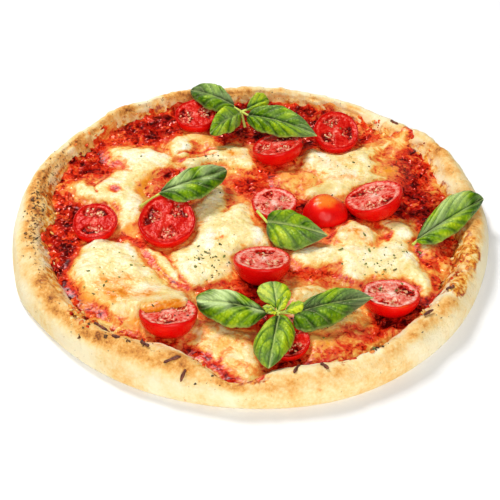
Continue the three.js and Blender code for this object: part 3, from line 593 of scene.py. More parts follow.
def tomato_material():
    """Roasted cherry tomato: tight glossy red skin that turns orange where it is pale, pink flesh walls
    with pale threads of 2 mm on the cut, wet jelly from deep red to pale in the seed chambers and a pale
    core. The paleness of a cut is partly painted sheen."""
    material, tree, shader, place = new_material("roasted_tomato")
    skin, jelly, pale = (node(tree, "Attribute", out="Fac", attribute_name=label)
                         for label in ("skin", "jelly", "pale"))
    blush = node(tree, "TexNoise", {"Vector": place, "Scale": per_mm(12), "Detail": 3, "Roughness": 0.5})
    threads = node(tree, "TexNoise", {"Vector": place, "Scale": per_mm(2.0), "Detail": 4, "Roughness": 0.65})
    # Skin, then flesh, then jelly
    ripe = node(tree, "Math", {0: pale, 1: 0.5, 2: blush}, operation="MULTIPLY_ADD")
    peel = node(tree, "ValToRGB", {"Fac": ripe}, stops=[
        (0.3, "#d80504"), (1.0, "#f47c22"), (0.5, "#e60806"), (0.72, "#ee200a")])
    light = node(tree, "Math", {0: threads, 1: 1.5, 2: -0.75}, operation="MULTIPLY_ADD")
    # On the cut, pale lightens flesh and jelly: partly paler flesh, partly painted sheen
    faded = node(tree, "Math", {0: pale, 1: light}, operation="ADD", use_clamp=True)
    flesh = node(tree, "ValToRGB", {"Fac": faded}, stops=[
        (0.0, "#c40a05"), (1.0, "#fddcca"), (0.3, "#dc2a1a"), (0.65, "#f29480")])
    milky = node(tree, "Math", {0: pale, 1: 0.14, 2: threads}, operation="MULTIPLY_ADD")
    juice = node(tree, "ValToRGB", {"Fac": milky}, stops=[
        (0.36, "#5c0403"), (0.7, "#f9d4b4"), (0.45, "#a80e07"), (0.54, "#d0301c"), (0.62, "#ee967a")])
    cut = node(tree, "MixRGB", {"Fac": jelly, "Color1": flesh, "Color2": juice})
    colour = node(tree, "MixRGB", {"Fac": skin, "Color1": cut, "Color2": peel})
    gloss = node(tree, "MapRange", {"Value": threads, "To Min": 0.16, "To Max": 0.42})
    shine = node(tree, "MixRGB", {"Fac": skin, "Color1": ink("#ff9484"), "Color2": ink("#ffd0c4")})
    tree.links.new(shine, shader.inputs["Specular Tint"])
    level = node(tree, "MapRange", {"Value": skin, "To Min": 0.2, "To Max": 0.34})
    tree.links.new(level, shader.inputs["Specular IOR Level"])
    grain = node(tree, "Math", {0: skin, 1: -0.9, 2: 1.0}, operation="MULTIPLY_ADD")
    lobes = node(tree, "TexNoise", {"Vector": place, "Scale": per_mm(2.2), "Detail": 1})
    height = node(tree, "Math", {0: lobes, 1: grain}, operation="MULTIPLY")
    finish_material(tree, shader, colour, gloss, height, depth=0.5, Subsurface_Weight=0.2,
                    Subsurface_Radius=(0.004, 0.001, 0.0006), Subsurface_Scale=1.0)
    return material


def seed_material():
    """Tomato seed: cream to red tan in patches of 1.5 mm, with a wet coat of jelly."""
    material, tree, shader, place = new_material("tomato_seed")
    mottle = node(tree, "TexNoise", {"Vector": place, "Scale": per_mm(1.5), "Detail": 2})
    colour = node(tree, "ValToRGB", {"Fac": mottle}, stops=[
        (0.32, "#b8502c"), (0.68, "#f8dcae"), (0.5, "#e6a472")])
    gloss = node(tree, "MapRange", {"Value": mottle, "To Min": 0.2, "To Max": 0.4})
    finish_material(tree, shader, colour, gloss, mottle, depth=0.1)
    return material


def basil_material():
    """Fresh basil leaf: waxy and soft-glossy, dark to mid green in clouds of 7 mm with pale veins, a net
    of small swells of 2.8 mm and a sheen broken up by cells of 1.1 mm. A painted sheen, a pale highlight put
    into the colour, lies on one half of the leaf and near its midrib. The tone holds painted light on the
    swells and painted shade beside the veins; young leaves and stalks are lime."""
    material, tree, shader, place = new_material("basil_leaf")
    vein, tone, painted_sheen = (node(tree, "Attribute", out="Fac", attribute_name=label)
                         for label in ("vein", "tone", "painted_sheen"))
    cloud = node(tree, "TexNoise", {"Vector": place, "Scale": per_mm(7), "Detail": 3, "Roughness": 0.55})
    cells = node(tree, "TexNoise", {"Vector": place, "Scale": per_mm(1.1), "Detail": 3, "Roughness": 0.6})
    net = node(tree, "TexVoronoi", {"Vector": place, "Scale": per_mm(2.8)}, feature="DISTANCE_TO_EDGE")
    swells = node(tree, "MapRange", {"Value": net, "From Max": 0.3}, interpolation_type="SMOOTHSTEP")
    # Green of the blade, then bloom, then veins
    shift = node(tree, "Math", {0: cloud, 1: 0.7, 2: -0.4}, operation="MULTIPLY_ADD")
    puffed = node(tree, "Math", {0: swells, 1: 0.12, 2: shift}, operation="MULTIPLY_ADD")
    # The leaf's tone holds painted light on the swells and painted shade beside the veins and in the groove
    fresh = node(tree, "Math", {0: tone, 1: puffed}, operation="ADD", use_clamp=True)
    blade = node(tree, "ValToRGB", {"Fac": fresh}, stops=[
        (0.0, "#122c04"), (1.0, "#d6e02c"), (0.3, "#3a6403"), (0.55, "#749a06"), (0.78, "#a6c012")])
    # Painted sheen: the leaf's pale highlight, put into the colour
    sheened = node(tree, "MixRGB", {"Fac": painted_sheen, "Color1": blade, "Color2": ink("#d6eaa4")})
    lines = node(tree, "Math", {0: vein, 1: 0.75}, operation="MULTIPLY")
    colour = node(tree, "MixRGB", {"Fac": lines, "Color1": sheened, "Color2": ink("#d2de86")})
    gloss = node(tree, "MapRange", {"Value": cells, "To Min": 0.3, "To Max": 0.46})
    finish_material(tree, shader, colour, gloss, swells, depth=0.22, Specular_IOR_Level=0.36,
                    Specular_Tint=ink("#dcec9a"))
    return material


def herb_material():
    """Dried oregano: crumbled leaf, dull, from olive green to burnt brown."""
    material, tree, shader, place = new_material("dried_oregano")
    tone = node(tree, "Attribute", out="Fac", attribute_name="tone")
    grain = node(tree, "TexNoise", {"Vector": place, "Scale": per_mm(0.8), "Detail": 2})
    shift = node(tree, "Math", {0: grain, 1: 0.3, 2: -0.15}, operation="MULTIPLY_ADD")
    mixed = node(tree, "Math", {0: tone, 1: shift}, operation="ADD", use_clamp=True)
    colour = node(tree, "ValToRGB", {"Fac": mixed}, stops=[
        (0.0, "#8a9440"), (1.0, "#341c0e"), (0.4, "#5f6528"), (0.7, "#643e1a")])
    gloss = node(tree, "MapRange", {"Value": grain, "To Min": 0.55, "To Max": 0.85})
    finish_material(tree, shader, colour, gloss, grain, depth=0.1)
    return material


def stick_material():
    """Baked herb stalk: dark red brown, dry and ribbed."""
    material, tree, shader, place = new_material("baked_herb_stalk")
    ribs = node(tree, "TexNoise", {"Vector": place, "Scale": per_mm(1.2), "Detail": 3, "Roughness": 0.6})
    colour = node(tree, "ValToRGB", {"Fac": ribs}, stops=[
        (0.3, "#3a160c"), (0.75, "#9c5030"), (0.52, "#652a14")])
    gloss = node(tree, "MapRange", {"Value": ribs, "To Min": 0.45, "To Max": 0.75})
    finish_material(tree, shader, colour, gloss, ribs, depth=0.3)
    return material


def floor_material():
    """Matt white paper with a faint tooth of about 2 mm."""
    material, tree, shader, place = new_material("white_paper")
    tooth = node(tree, "TexNoise", {"Vector": place, "Scale": per_mm(2), "Detail": 2})
    colour = node(tree, "ValToRGB", {"Fac": tooth}, stops=[(0.0, "#fbfbfb"), (1.0, "#ffffff")])
    gloss = node(tree, "MapRange", {"Value": tooth, "To Min": 0.85, "To Max": 0.95})
    finish_material(tree, shader, colour, gloss, tooth, depth=0.01)
    return material


# Bread

def bumps_at(bumps, degrees):
    """Sum of bell-shaped bumps round the rim: height times exp(-(angle away over spread) squared)."""
    total = np.zeros_like(degrees)
    for at, by, over in bumps:
        away = (degrees - at + 180) % 360 - 180
        total += by * np.exp(-(away / over) ** 2)
    return total


def outer_radius(degrees):
    """Radius of the rim's outer edge: the even one and its bumps."""
    return RADIUS + bumps_at(OUTER_BUMPS, degrees)


def inner_radius(degrees):
    """Radius where the rim's inner slope meets the floor: the even one and its bumps."""
    return INNER_RADIUS + bumps_at(INNER_BUMPS, degrees)


def even_draws(seed):
    """Even random numbers from 0 to 1 by the 32-bit mixing rule that places the blisters on the solid."""
    mask = 0xFFFFFFFF
    while True:
        seed = (seed + 0x6D2B79F5) & mask
        mixed = ((seed ^ seed >> 15) * (seed | 1)) & mask
        mixed ^= (mixed + ((mixed ^ mixed >> 7) * (mixed | 61) & mask)) & mask
        yield (mixed ^ mixed >> 14) / 2 ** 32


def draw_blisters():
    """Blisters as on the solid: one in each even sector, with place across the rim, size and height."""
    draw = even_draws(BLISTER_SEED)
    next(draw)
    rows = []
    for index in range(BLISTERS):
        angle = 360 * (index + next(draw)) / BLISTERS
        rows.append((angle, 0.2 + 0.6 * next(draw), 6 + 6 * next(draw), 0.6 + next(draw)))
    return rows


blisters = draw_blisters()


def rim_height(degrees, across):
    """Height of the rim, across from 0 at the outer edge to 1 at the sauce: a quarter ellipse up to the
    crest, then a power curve down to the floor, with bell-shaped blisters on it."""
    crest = CREST + bumps_at(CREST_BUMPS, degrees)
    width = outer_radius(degrees) - inner_radius(degrees)
    out = np.clip(1 - across / CREST_PLACE, 0, 1)
    inward = np.clip((across - CREST_PLACE) / (1 - CREST_PLACE), 0, 1)
    climb = EDGE_HEIGHT + (crest - EDGE_HEIGHT) * np.sqrt(1 - out ** 2)
    fall = FLOOR + (crest - FLOOR) * (1 - inward ** INNER_FALL)
    swell = np.zeros_like(crest + across)
    for angle, place, size, height in blisters:
        arc = np.radians((degrees - angle + 180) % 360 - 180) * RADIUS
        swell += height * np.exp(-(arc ** 2 + ((across - place) * width) ** 2) / size ** 2)
    return np.where(across < CREST_PLACE, climb, fall) + swell * np.sin(np.pi * np.clip(across, 0, 1))


def make_crust(material):
    """Bread: one ring of points for each step of a profile that runs from the middle of the underside out,
    round the heel, over the rim and down to the floor. Lumps of 17 mm, pores of 3.2 mm, bubbles of 7 mm
    and creases that run round the inner slope raise it along its normal. Crown, wall, shoulder, heel and
    inner slope are each baked by their own bumps, faded in and out across the rim; the crown's bumps also
    paint light on the back of the rim, which is lighter there."""
    round_steps = 720
    degrees = np.arange(round_steps) * 360 / round_steps
    outer, inner = outer_radius(degrees), inner_radius(degrees)
    # Profile from the middle of the underside to the middle of the floor
    climb = CREST_PLACE * (1 - np.cos(np.linspace(0, np.pi / 2, 30)))
    fall = np.linspace(CREST_PLACE, 1, 36)[1:]
    across = np.concatenate([climb, fall])[:, None]
    heel = np.linspace(0, np.pi / 2, 7)[:-1, None]
    under = np.array([0.01, 0.5, 0.93])[:, None]
    inside = np.array([0.985, 0.95, 0.8, 0.5, 0.01])[:, None]
    radius = np.concatenate([under * (outer - FOOT_INSET), outer - FOOT_INSET * (1 - np.sin(heel)),
                             outer - across * (outer - inner), inside * inner])
    height = np.concatenate([0 * under * outer, EDGE_HEIGHT * (1 - np.cos(heel)) + 0 * outer,
                             rim_height(degrees[None, :], across), FLOOR + 0 * inside * outer])
    place = np.concatenate([0 * under - 1, 0 * heel - 0.1, across, 0 * inside + 1.2]) + 0 * outer
    turn = np.radians(degrees)
    points = np.stack([radius * np.cos(turn), radius * np.sin(turn), height], -1)
    x, y = points[..., 0] + 0.5 * height, points[..., 1] + 0.4 * height
    # Relief
    lumps = layered(x, y, size=17, seed=11, layers=3)
    pores = layered(x, y, size=3.2, seed=21, layers=2)
    bubbles = smooth(0.3, 0.9, field(x, y, size=7, seed=31))
    arc = turn * RADIUS + 0 * place
    creases = smooth(0.4, 0.7, place) * field(arc, 90 * place + 3 * lumps, size=CREASE_LENGTH, seed=47)
    weight = smooth(-0.05, 0.2, place) * (1 - smooth(0.9, 1.1, place))
    raised = 0.8 * lumps + 0.25 * pores + 0.7 * bubbles + 0.45 * creases
    points = points + outward(points) * (weight * raised)[..., None]
    # How much it is baked, with painted light on the back of the crown, specked and stained
    crown = smooth(0.1, 0.46, place) * (1 - 0.75 * smooth(0.55, 0.92, place))
    mottle = layered(x, y, size=13, seed=41, layers=3)
    bake_and_light = crown * (0.4 + 0.28 * mottle + 0.18 * lumps + bumps_at(BAKE_AND_LIGHT_BUMPS, degrees))
    wall = smooth(-0.3, 0.0, place) * (1 - smooth(0.1, 0.5, place))
    shoulder = np.exp(-((place - 0.3) / 0.16) ** 2)
    blotches = 0.2 * layered(x, y, size=21, seed=43, layers=3)
    bake_and_light = bake_and_light + wall * (bumps_at(WALL_BUMPS, degrees) + blotches)
    bake_and_light = bake_and_light + shoulder * bumps_at(SHOULDER_BUMPS, degrees)
    bake_and_light = bake_and_light + smooth(-0.4, -0.1, place) * (1 - smooth(0, 0.12, place)) * bumps_at(HEEL_BUMPS, degrees)
    bake_and_light = bake_and_light + smooth(0.45, 0.7, place) * bumps_at(GOLDEN_BUMPS, degrees) - 0.2 * creases
    bake_and_light = bake_and_light + 0.02 + 0.3 * smooth(-0.5, -0.9, place)
    speck = bumps_at(SPECK_BUMPS, degrees) * smooth(0.25, 0.6, place)
    stain = patches(points[..., 0], points[..., 1], RIM_STAINS) * smooth(0.12, 0.3, place)
    stain = stain + 0.62 * smooth(0.6, 1.0, place)
    vertices, faces = closed_grid(points)
    make_piece("crust_bread", vertices, faces, material, ["crust"],
               {"bake_and_light": bake_and_light, "speck": speck, "stain": stain})


def across_rim(x, y):
    """Place of a point across the rim: 0 at its outer edge, 1 where the sauce begins."""
    degrees = np.degrees(np.arctan2(y, x))
    outer = outer_radius(degrees)
    return (outer - np.hypot(x, y)) / (outer - inner_radius(degrees))


def rim_height_at(x, y):
    """Height of the bread under a point, by its angle and place across the rim; the floor inside the
    rim."""
    return rim_height(np.degrees(np.arctan2(y, x)), across_rim(x, y))


# Sauce

def sauce_relief(x, y):
    """Height of the sauce over its level: pulp of 7 mm and ridges where a field of 6.2 mm crosses zero,
    both higher towards the rim, and a grain of 1.9 mm."""
    ridges = 1 - np.abs(layered(x, y, size=6.2, seed=61, layers=2))
    lumps = 1 + 0.9 * smooth(85, 112, np.hypot(x, y))
    pulp = layered(x, y, size=7, seed=51, layers=3)
    return lumps * (0.5 * pulp + 1.1 * (ridges - 0.75)) + 0.1 * field(x, y, size=1.9, seed=71)


def make_sauce(material, cover, side):
    """Sauce: a square grid pressed into a disc (each side times the root of one less half the other
    squared), scaled to an uneven edge that runs up the rim, further at the back, and dips under its
    surface. The edge is dry, and browned in places."""
    count = 310
    step = np.linspace(-1, 1, count)
    a, b = np.meshgrid(step, step, indexing="ij")
    disc_x, disc_y = a * np.sqrt(1 - b ** 2 / 2), b * np.sqrt(1 - a ** 2 / 2)
    degrees = np.degrees(np.arctan2(disc_y, disc_x))
    inner, outer = inner_radius(degrees), outer_radius(degrees)
    turn = np.radians(degrees)
    edge_x, edge_y = inner * np.cos(turn), inner * np.sin(turn)
    smear = 1.6 + 2.6 * layered(edge_x, edge_y, size=17, seed=81, layers=2) + bumps_at(SMEAR_BUMPS, degrees)
    edge = inner + 0.02 * (outer - inner) + np.clip(smear, -1.0, 7.5)
    share = np.hypot(disc_x, disc_y)
    x, y = disc_x * edge, disc_y * edge
    relief = sauce_relief(x, y)
    bread = rim_height_at(x, y)
    cheese = sampled(cover, side, x, y)
    dry = smooth(0.92, 1.0, share) * (0.25 + 0.35 * layered(x, y, size=8, seed=77, layers=2))
    browned = smooth(0.86, 0.94, share) * bumps_at(DRY_BUMPS, degrees)
    dry = dry + browned
    level = np.maximum(SAUCE_TOP + relief * (1 - 0.6 * cheese), bread + 0.45 + 0.35 * relief)
    top = level - 1.5 * smooth(0.975, 1.0, share)
    # Top, walls down to the foot, and the foot
    border = np.concatenate([np.arange(count - 1) * count, (count - 1) * count + np.arange(count - 1),
                             np.arange(count - 1, 0, -1) * count + count - 1, np.arange(count - 1, 0, -1)])
    points = np.stack([x, y, top], -1).reshape(-1, 3)
    foot = points[border] * [1, 1, 0] + [0, 0, FLOOR + 0.35]
    low = len(points) + np.arange(len(border))
    corner = (np.arange(count - 1)[:, None] * count + np.arange(count - 1)).ravel()
    quads = np.stack([corner, corner + count, corner + count + 1, corner + 1], -1)
    walls = np.stack([border, low, np.roll(low, -1), np.roll(border, -1)], -1)
    faces = quads.tolist() + walls.tolist() + [low[::-1].tolist()]
    rim = np.zeros(len(border))
    values = {"cover": np.concatenate([np.maximum(cheese, dry).ravel(), rim]),
              "toast_and_shade": np.concatenate([0.6 * browned.ravel(), rim])}
    vertices = np.concatenate([points, foot])
    make_piece("sauce_spread", vertices, faces, material, ["tomato_sauce"], values)


# Tomatoes

def chamber(reach, turn, chambers, first, seed):
    """How far a point of the cut face lies in a seed chamber: a window along the radius times one round
    the middle, both bent by a random field."""
    u, v = reach * np.cos(turn), reach * np.sin(turn)
    bend = 0.22 * field(u, v, size=0.4, seed=seed) + 0.1 * field(u, v, size=0.17, seed=seed + 1)
    lobes = np.cos(chambers * (turn - np.radians(first)) + 1.6 * bend)
    along = smooth(0.22, 0.3, reach + 0.5 * bend) * (1 - smooth(0.7, 0.79, reach + 0.4 * bend))
    return along * smooth(-0.3, 0.02, lobes)


def face_relief(reach, turn, chambers, first, seed):
    """Height of the cut face over its plane: chambers sunk by 1.3 mm, a lip of half a millimetre at the
    skin, and random swells, with finer ones in the chambers."""
    u, v = reach * np.cos(turn), reach * np.sin(turn)
    sunk = chamber(reach, turn, chambers, first, seed)
    lip = 0.5 * np.exp(-((reach - 0.95) / 0.06) ** 2)
    swells = 0.3 * field(u, v, size=0.18, seed=seed + 2)
    return 0.25 + lip - 1.3 * sunk + swells + 0.25 * field(u, v, size=0.08, seed=seed + 3) * sunk


def placed(points, at, uphill, tilt):
    """Points turned by the tilt about the level axis at right angles to the uphill way, then moved to
    at."""
    way = np.radians(uphill)
    axis = np.array([np.sin(way), -np.cos(way), 0])
    angle = np.radians(tilt)
    along = points @ axis
    turned = (points * np.cos(angle) + np.cross(axis, points) * np.sin(angle)
              + along[..., None] * axis * (1 - np.cos(angle)))
    return turned + np.array(at, float)


def make_tomatoes(material, seed_finish):
    """Tomato halves: rings from the bottom of a half ball up its shrunken skin, over the rounded cut edge
    and across the face to its middle. Parts of the chambers are emptied to a darker red. Seeds are small
    flattened balls scattered in the chambers."""
    columns = 120
    turn = np.linspace(0, 2 * np.pi, columns, endpoint=False)[None, :]
    slope = np.radians(np.linspace(88, 0, 26))[:, None]
    reach = np.concatenate([[0.992, 0.98], np.linspace(0.96, 0.02, 40)])[:, None]
    seeds = []
    for number, (name, at, half, uphill, tilt, chambers, first, pale) in enumerate(TOMATOES):
        wide, deep, low = half
        random = np.random.default_rng(100 + number)
        face_seed = 300 + 7 * number
        shape = 1 + 0.015 * np.cos(3 * turn + number) + 0.01 * np.cos(5 * turn + 2 * number)
        u, v = np.cos(slope) * np.cos(turn), np.cos(slope) * np.sin(turn)
        wrinkle = 0.07 if tilt > 90 else 0.02
        folds = field(u, v, size=0.5, seed=900 + number) + 0.4 * field(u, v, size=0.2, seed=930 + number)
        shrunk = wrinkle * folds * np.sin(slope)
        face_height = face_relief(reach, turn, chambers, first, face_seed)
        face_height[:1] = 0.18
        across = np.concatenate([np.cos(slope) * (shape + shrunk), reach * shape])
        height = np.concatenate([-low * np.sin(slope) * (1 + shrunk), face_height])
        points = np.stack([wide * across * np.cos(turn), deep * across * np.sin(turn), height], -1)
        cut_edge = 1 - smooth(0.02, 0.035, 1 - reach) + 0 * turn
        skin = np.concatenate([np.ones((len(slope), columns)), cut_edge])
        sunk = chamber(reach, turn, chambers, first, face_seed)
        jelly = np.concatenate([np.zeros((len(slope), columns)), sunk])
        core = np.exp(-(reach / 0.22) ** 2) + 0.6 * np.exp(-((reach - 0.82) / 0.06) ** 2)
        core = core - 0.8 * smooth(0.88, 0.96, reach)
        ripeness = smooth(0.6, 1.45, slope) * (1.0 if tilt > 90 else 0.0)
        empty = sunk * smooth(0.46, 0.62, reach) * smooth(-0.3, 0.3, np.sin(2 * turn + 1.7 * number))
        # Paleness of the cut: the pale core and ring, and painted sheen by the tomato's paleness, less where
        # emptied
        fade = np.concatenate([ripeness + 0 * turn, pale * 0.6 + 0.4 * core - 1.2 * empty])
        points = placed(points, at, uphill, tilt)
        points[..., 2] = np.maximum(points[..., 2], REST - 0.6)
        vertices, faces = closed_grid(points)
        make_piece("tomato_half_" + name, vertices, faces, material, ["tomato_" + name],
                   {"skin": skin, "jelly": jelly, "pale": fade})
        if tilt < 90:
            spots = random.uniform((0.26, 0), (0.74, 2 * np.pi), (90, 2))
            depth = chamber(spots[:, 0], spots[:, 1], chambers, first, face_seed)
            away, angle = spots[depth > 0.6][:SEEDS_EACH].T
            rise = face_relief(away, angle, chambers, first, face_seed) + 0.25
            middle = np.stack([wide * away * np.cos(angle), deep * away * np.sin(angle), rise], -1)
            seeds.append(placed(middle, at, uphill, tilt))
    scatter_balls("tomato_seeds", np.concatenate(seeds), SEED_SIZE, seed_finish, seed=17)


def scatter_balls(name, middles, size, material, seed, values=None):
    """Many small balls as one mesh: a ball of rings flattened to size, each turned at random and moved to
    its middle."""
    random = np.random.default_rng(seed)
    count = len(middles)
    turn = np.linspace(0, 2 * np.pi, 8, endpoint=False)
    slope = np.radians([-62, -22, 22, 62])[:, None]
    ball = np.stack([np.cos(slope) * np.cos(turn), np.cos(slope) * np.sin(turn),
                     np.sin(slope) + 0 * turn], -1)
    vertices, faces = closed_grid(ball)
    shaped = vertices * np.array(size) / 2 * random.uniform(0.6, 1.2, (count, 1, 1))
    moved = turned_about(shaped, random.uniform(0, 2 * np.pi, count), random.uniform(-0.5, 0.5, (count, 2)))
    make_many(name, moved + middles[:, None], faces, material, values)


def turned_about(points, yaw, lean):
    """Groups of points turned about Z by yaw, after a small lean about X and Y."""
    x, y, z = points[..., 0], points[..., 1], points[..., 2]
    z = z + lean[:, :1] * x + lean[:, 1:] * y
    c, s = np.cos(yaw)[:, None], np.sin(yaw)[:, None]
    return np.stack([x * c - y * s, x * s + y * c, z], -1)


def make_many(name, groups, faces, material, values=None):
    """One mesh of many copies of a small closed shape, with values for each copy."""
    count, size = groups.shape[:2]
    every = [[corner + copy * size for corner in face] for copy in range(count) for face in faces]
    spread = {label: np.repeat(numbers, size) for label, numbers in (values or {}).items()}
    make_piece(name, groups.reshape(-1, 3), every, material, values=spread)


# Cheese

GRID_STEP = 0.6
GRID_REACH = 135
# How far a pool runs past its edge points, and where its solid is cut off outside its edge
POOL_SPREAD = 3.3
POOL_END = -3.2
# Height over which pools that meet blend
SOFT_JOIN = 0.8
# The pool whose slab hangs over a tomato
LIPPED_POOL = "front_left"


def square_grid():
    """Side values and the points of the level grid that the cheese is cut from."""
    side = np.arange(-GRID_REACH, GRID_REACH + GRID_STEP / 2, GRID_STEP)
    return (side, *np.meshgrid(side, side, indexing="ij"))


def sampled(values, side, x, y):
    """Values of the square grid at the grid points nearest to x and y."""
    column = np.clip(np.round((x - side[0]) / GRID_STEP).astype(int), 0, len(side) - 1)
    row = np.clip(np.round((y - side[0]) / GRID_STEP).astype(int), 0, len(side) - 1)
    return values[column, row]


def blurred(values, spread):
    """Values of the square grid spread out by a bell curve, as a product in the Fourier transform."""
    waves = np.fft.fftfreq(len(values), GRID_STEP)
    bell = np.exp(-2 * (np.pi * spread * waves) ** 2)
    return np.fft.ifft2(np.fft.fft2(values) * bell[:, None] * bell[None, :]).real


def cheese_map():
    """Height of every group of pools on its part of the square grid, and how much cheese covers each
    point: all of a pool, less of its feathered edge, and a thin veil round it; bare places and folds take
    it away."""
    side, x, y = square_grid()
    folds = runs(x, y, SEAMS)
    groups, body = {}, np.zeros_like(x)
    for name, pools in CHEESES.items():
        reach = np.concatenate([np.array(pool[3]) for pool in pools])
        low = np.maximum(np.searchsorted(side, reach.min(0) - 10), 0)
        high = np.searchsorted(side, reach.max(0) + 10)
        box = (slice(low[0], high[0]), slice(low[1], high[1]))
        height, depth, covered = cheese_heights(x[box], y[box], pools, name == LIPPED_POOL)
        groups[name] = (box, height * (1 - 0.5 * folds[box] * (height > 0)), depth)
        body[box] = np.maximum(body[box], covered)
    bare = np.clip(patches(x, y, BARE_SAUCE), 0, 1)
    near = blurred((body > 0.4).astype(float), spread=8.0)
    veil = 0.5 * smooth(0.0, 0.4, near + 0.12 * layered(x, y, size=14, seed=97, layers=2))
    return groups, np.maximum(veil, body) * (1 - 0.85 * bare) * (1 - folds)


def tomato_cover(x, y):
    """For each point the height of the tomato over it, or a very low height, and the gap to the nearest
    tomato."""
    cover, gap = np.full_like(x, -99.0), np.full_like(x, 99.0)
    for at, half, uphill, tilt in (row[1:5] for row in TOMATOES):
        away = np.hypot((x - at[0]) / half[0], (y - at[1]) / half[1])
        way = np.radians(uphill)
        climb = np.tan(np.radians(tilt)) * ((x - at[0]) * np.cos(way) + (y - at[1]) * np.sin(way))
        face = at[2] + climb if tilt < 90 else at[2] + half[2] * np.sqrt(np.clip(1 - away ** 2, 0, 1))
        cover = np.where(away < 1, np.maximum(cover, face), cover)
        gap = np.minimum(gap, (away - 1) * min(half[:2]))
    return cover, gap


def cheese_heights(x, y, pools, lip):
    """Height over the sauce, depth inside the edge and cover of pools that run together. Each pool swells
    from an uneven feathered edge by the smooth step of that depth to its thickness, steeper where a lip
    hangs over a tomato; pools join by a soft maximum."""
    ragged = 2.4 * layered(x, y, size=9, seed=91, layers=4)
    face, gap = tomato_cover(x, y)
    over = smooth(2.0, -1.0, gap) if lip else np.zeros_like(x)
    flap = patches(x, y, FLAP) if lip else 0
    heights, depths, covers = [], [], []
    for thick, film, width, edge in pools:
        depth = inside_depth(x, y, closed_curve(edge)) + (POOL_SPREAD + ragged) * (1 - 0.75 * over)
        swell = smooth(-2.5 + 2.0 * over, (width + 5) * (1 - over) + 3.0 * over, depth)
        heights.append((thick + flap) * swell - 0.4)
        depths.append(depth)
        covers.append(smooth(-3.5, 8.5 - 7.0 * over, depth) * (1 - 0.5 * film))
    heights = np.array(heights)
    share = np.exp((heights - heights.max(0)) / SOFT_JOIN)
    height = heights.max(0) + SOFT_JOIN * np.log(share.sum(0)) * smooth(-0.2, 1.5, heights.max(0))
    limit = np.where(gap < 0, face - SAUCE_TOP - 0.7, 99)
    height = height if lip else np.minimum(height, limit)
    rolling = 0.5 * layered(x, y, size=15, seed=111, layers=2)
    rolling = rolling + 0.18 * layered(x, y, size=5, seed=121, layers=2)
    rolling = rolling + 0.35 * smooth(0.35, 0.9, field(x, y, size=6, seed=125))
    moat = 0.0 if lip else 0.35 * (1 - smooth(0, 2.2, gap))
    height = height * (1 - moat) + rolling * smooth(0.2, 2.5, height)
    return height, np.array(depths).max(0), np.array(covers).max(0)


def height_solid(x, y, top, keep, low):
    """Closed solid over the kept cells of a square grid: the top, a level bottom and walls on open
    sides."""
    columns = x.shape[1]
    cell = keep[:-1, :-1] & keep[1:, :-1] & keep[1:, 1:] & keep[:-1, 1:]
    padded = np.pad(cell, 1)
    row, column = np.nonzero(cell)
    corner = row * columns + column
    quads = np.stack([corner, corner + columns, corner + columns + 1, corner + 1], -1)
    used, numbers = np.unique(quads, return_inverse=True)
    quads = numbers.reshape(-1, 4)
    count = len(used)
    sides = []
    for step, (first, second) in zip([(0, -1), (1, 0), (0, 1), (-1, 0)], [(0, 1), (1, 2), (2, 3), (3, 0)]):
        open_side = ~padded[row + 1 + step[0], column + 1 + step[1]]
        here, ahead = quads[open_side, first], quads[open_side, second]
        sides.append(np.stack([here, here + count, ahead + count, ahead], -1))
    points = np.stack([x.ravel()[used], y.ravel()[used], top.ravel()[used]], -1)
    foot = points * [1, 1, 0] + [0, 0, low]
    faces = np.concatenate([quads, quads[:, ::-1] + count, *sides])
    return np.concatenate([points, foot]), faces.tolist(), used


def make_cheese(material, groups, cover):
    """Cheese: one solid for each group of pools, cut from the square grid; its edge dips under the
    sauce."""
    side, x, y = square_grid()
    bread = rim_height_at(x, y)
    highest = np.maximum(SAUCE_TOP + sauce_relief(x, y), bread)
    for name, (box, height, depth) in groups.items():
        px, py = x[box], y[box]
        top = np.maximum(SAUCE_TOP, bread[box] + 0.3) + height
        # Toasted patches, and the painted warm shade under leaf_left
        toast_and_shade = patches(px, py, TOASTED_AND_SHADE) * (0.95 + 0.25 * layered(px, py, size=6, seed=151, layers=3))
        vertices, faces, used = height_solid(px, py, top, depth > POOL_END, low=FLOOR + 0.6)
        values = {"cover": np.tile(cover[box].ravel()[used], 2), "toast_and_shade": np.tile(toast_and_shade.ravel()[used], 2)}
        make_piece("melted_cheese_" + name, vertices, faces, material, ["cheese_" + name], values)
        highest[box] = np.maximum(highest[box], top)
    return np.maximum(highest, tomato_cover(x, y)[0]), side


# Basil

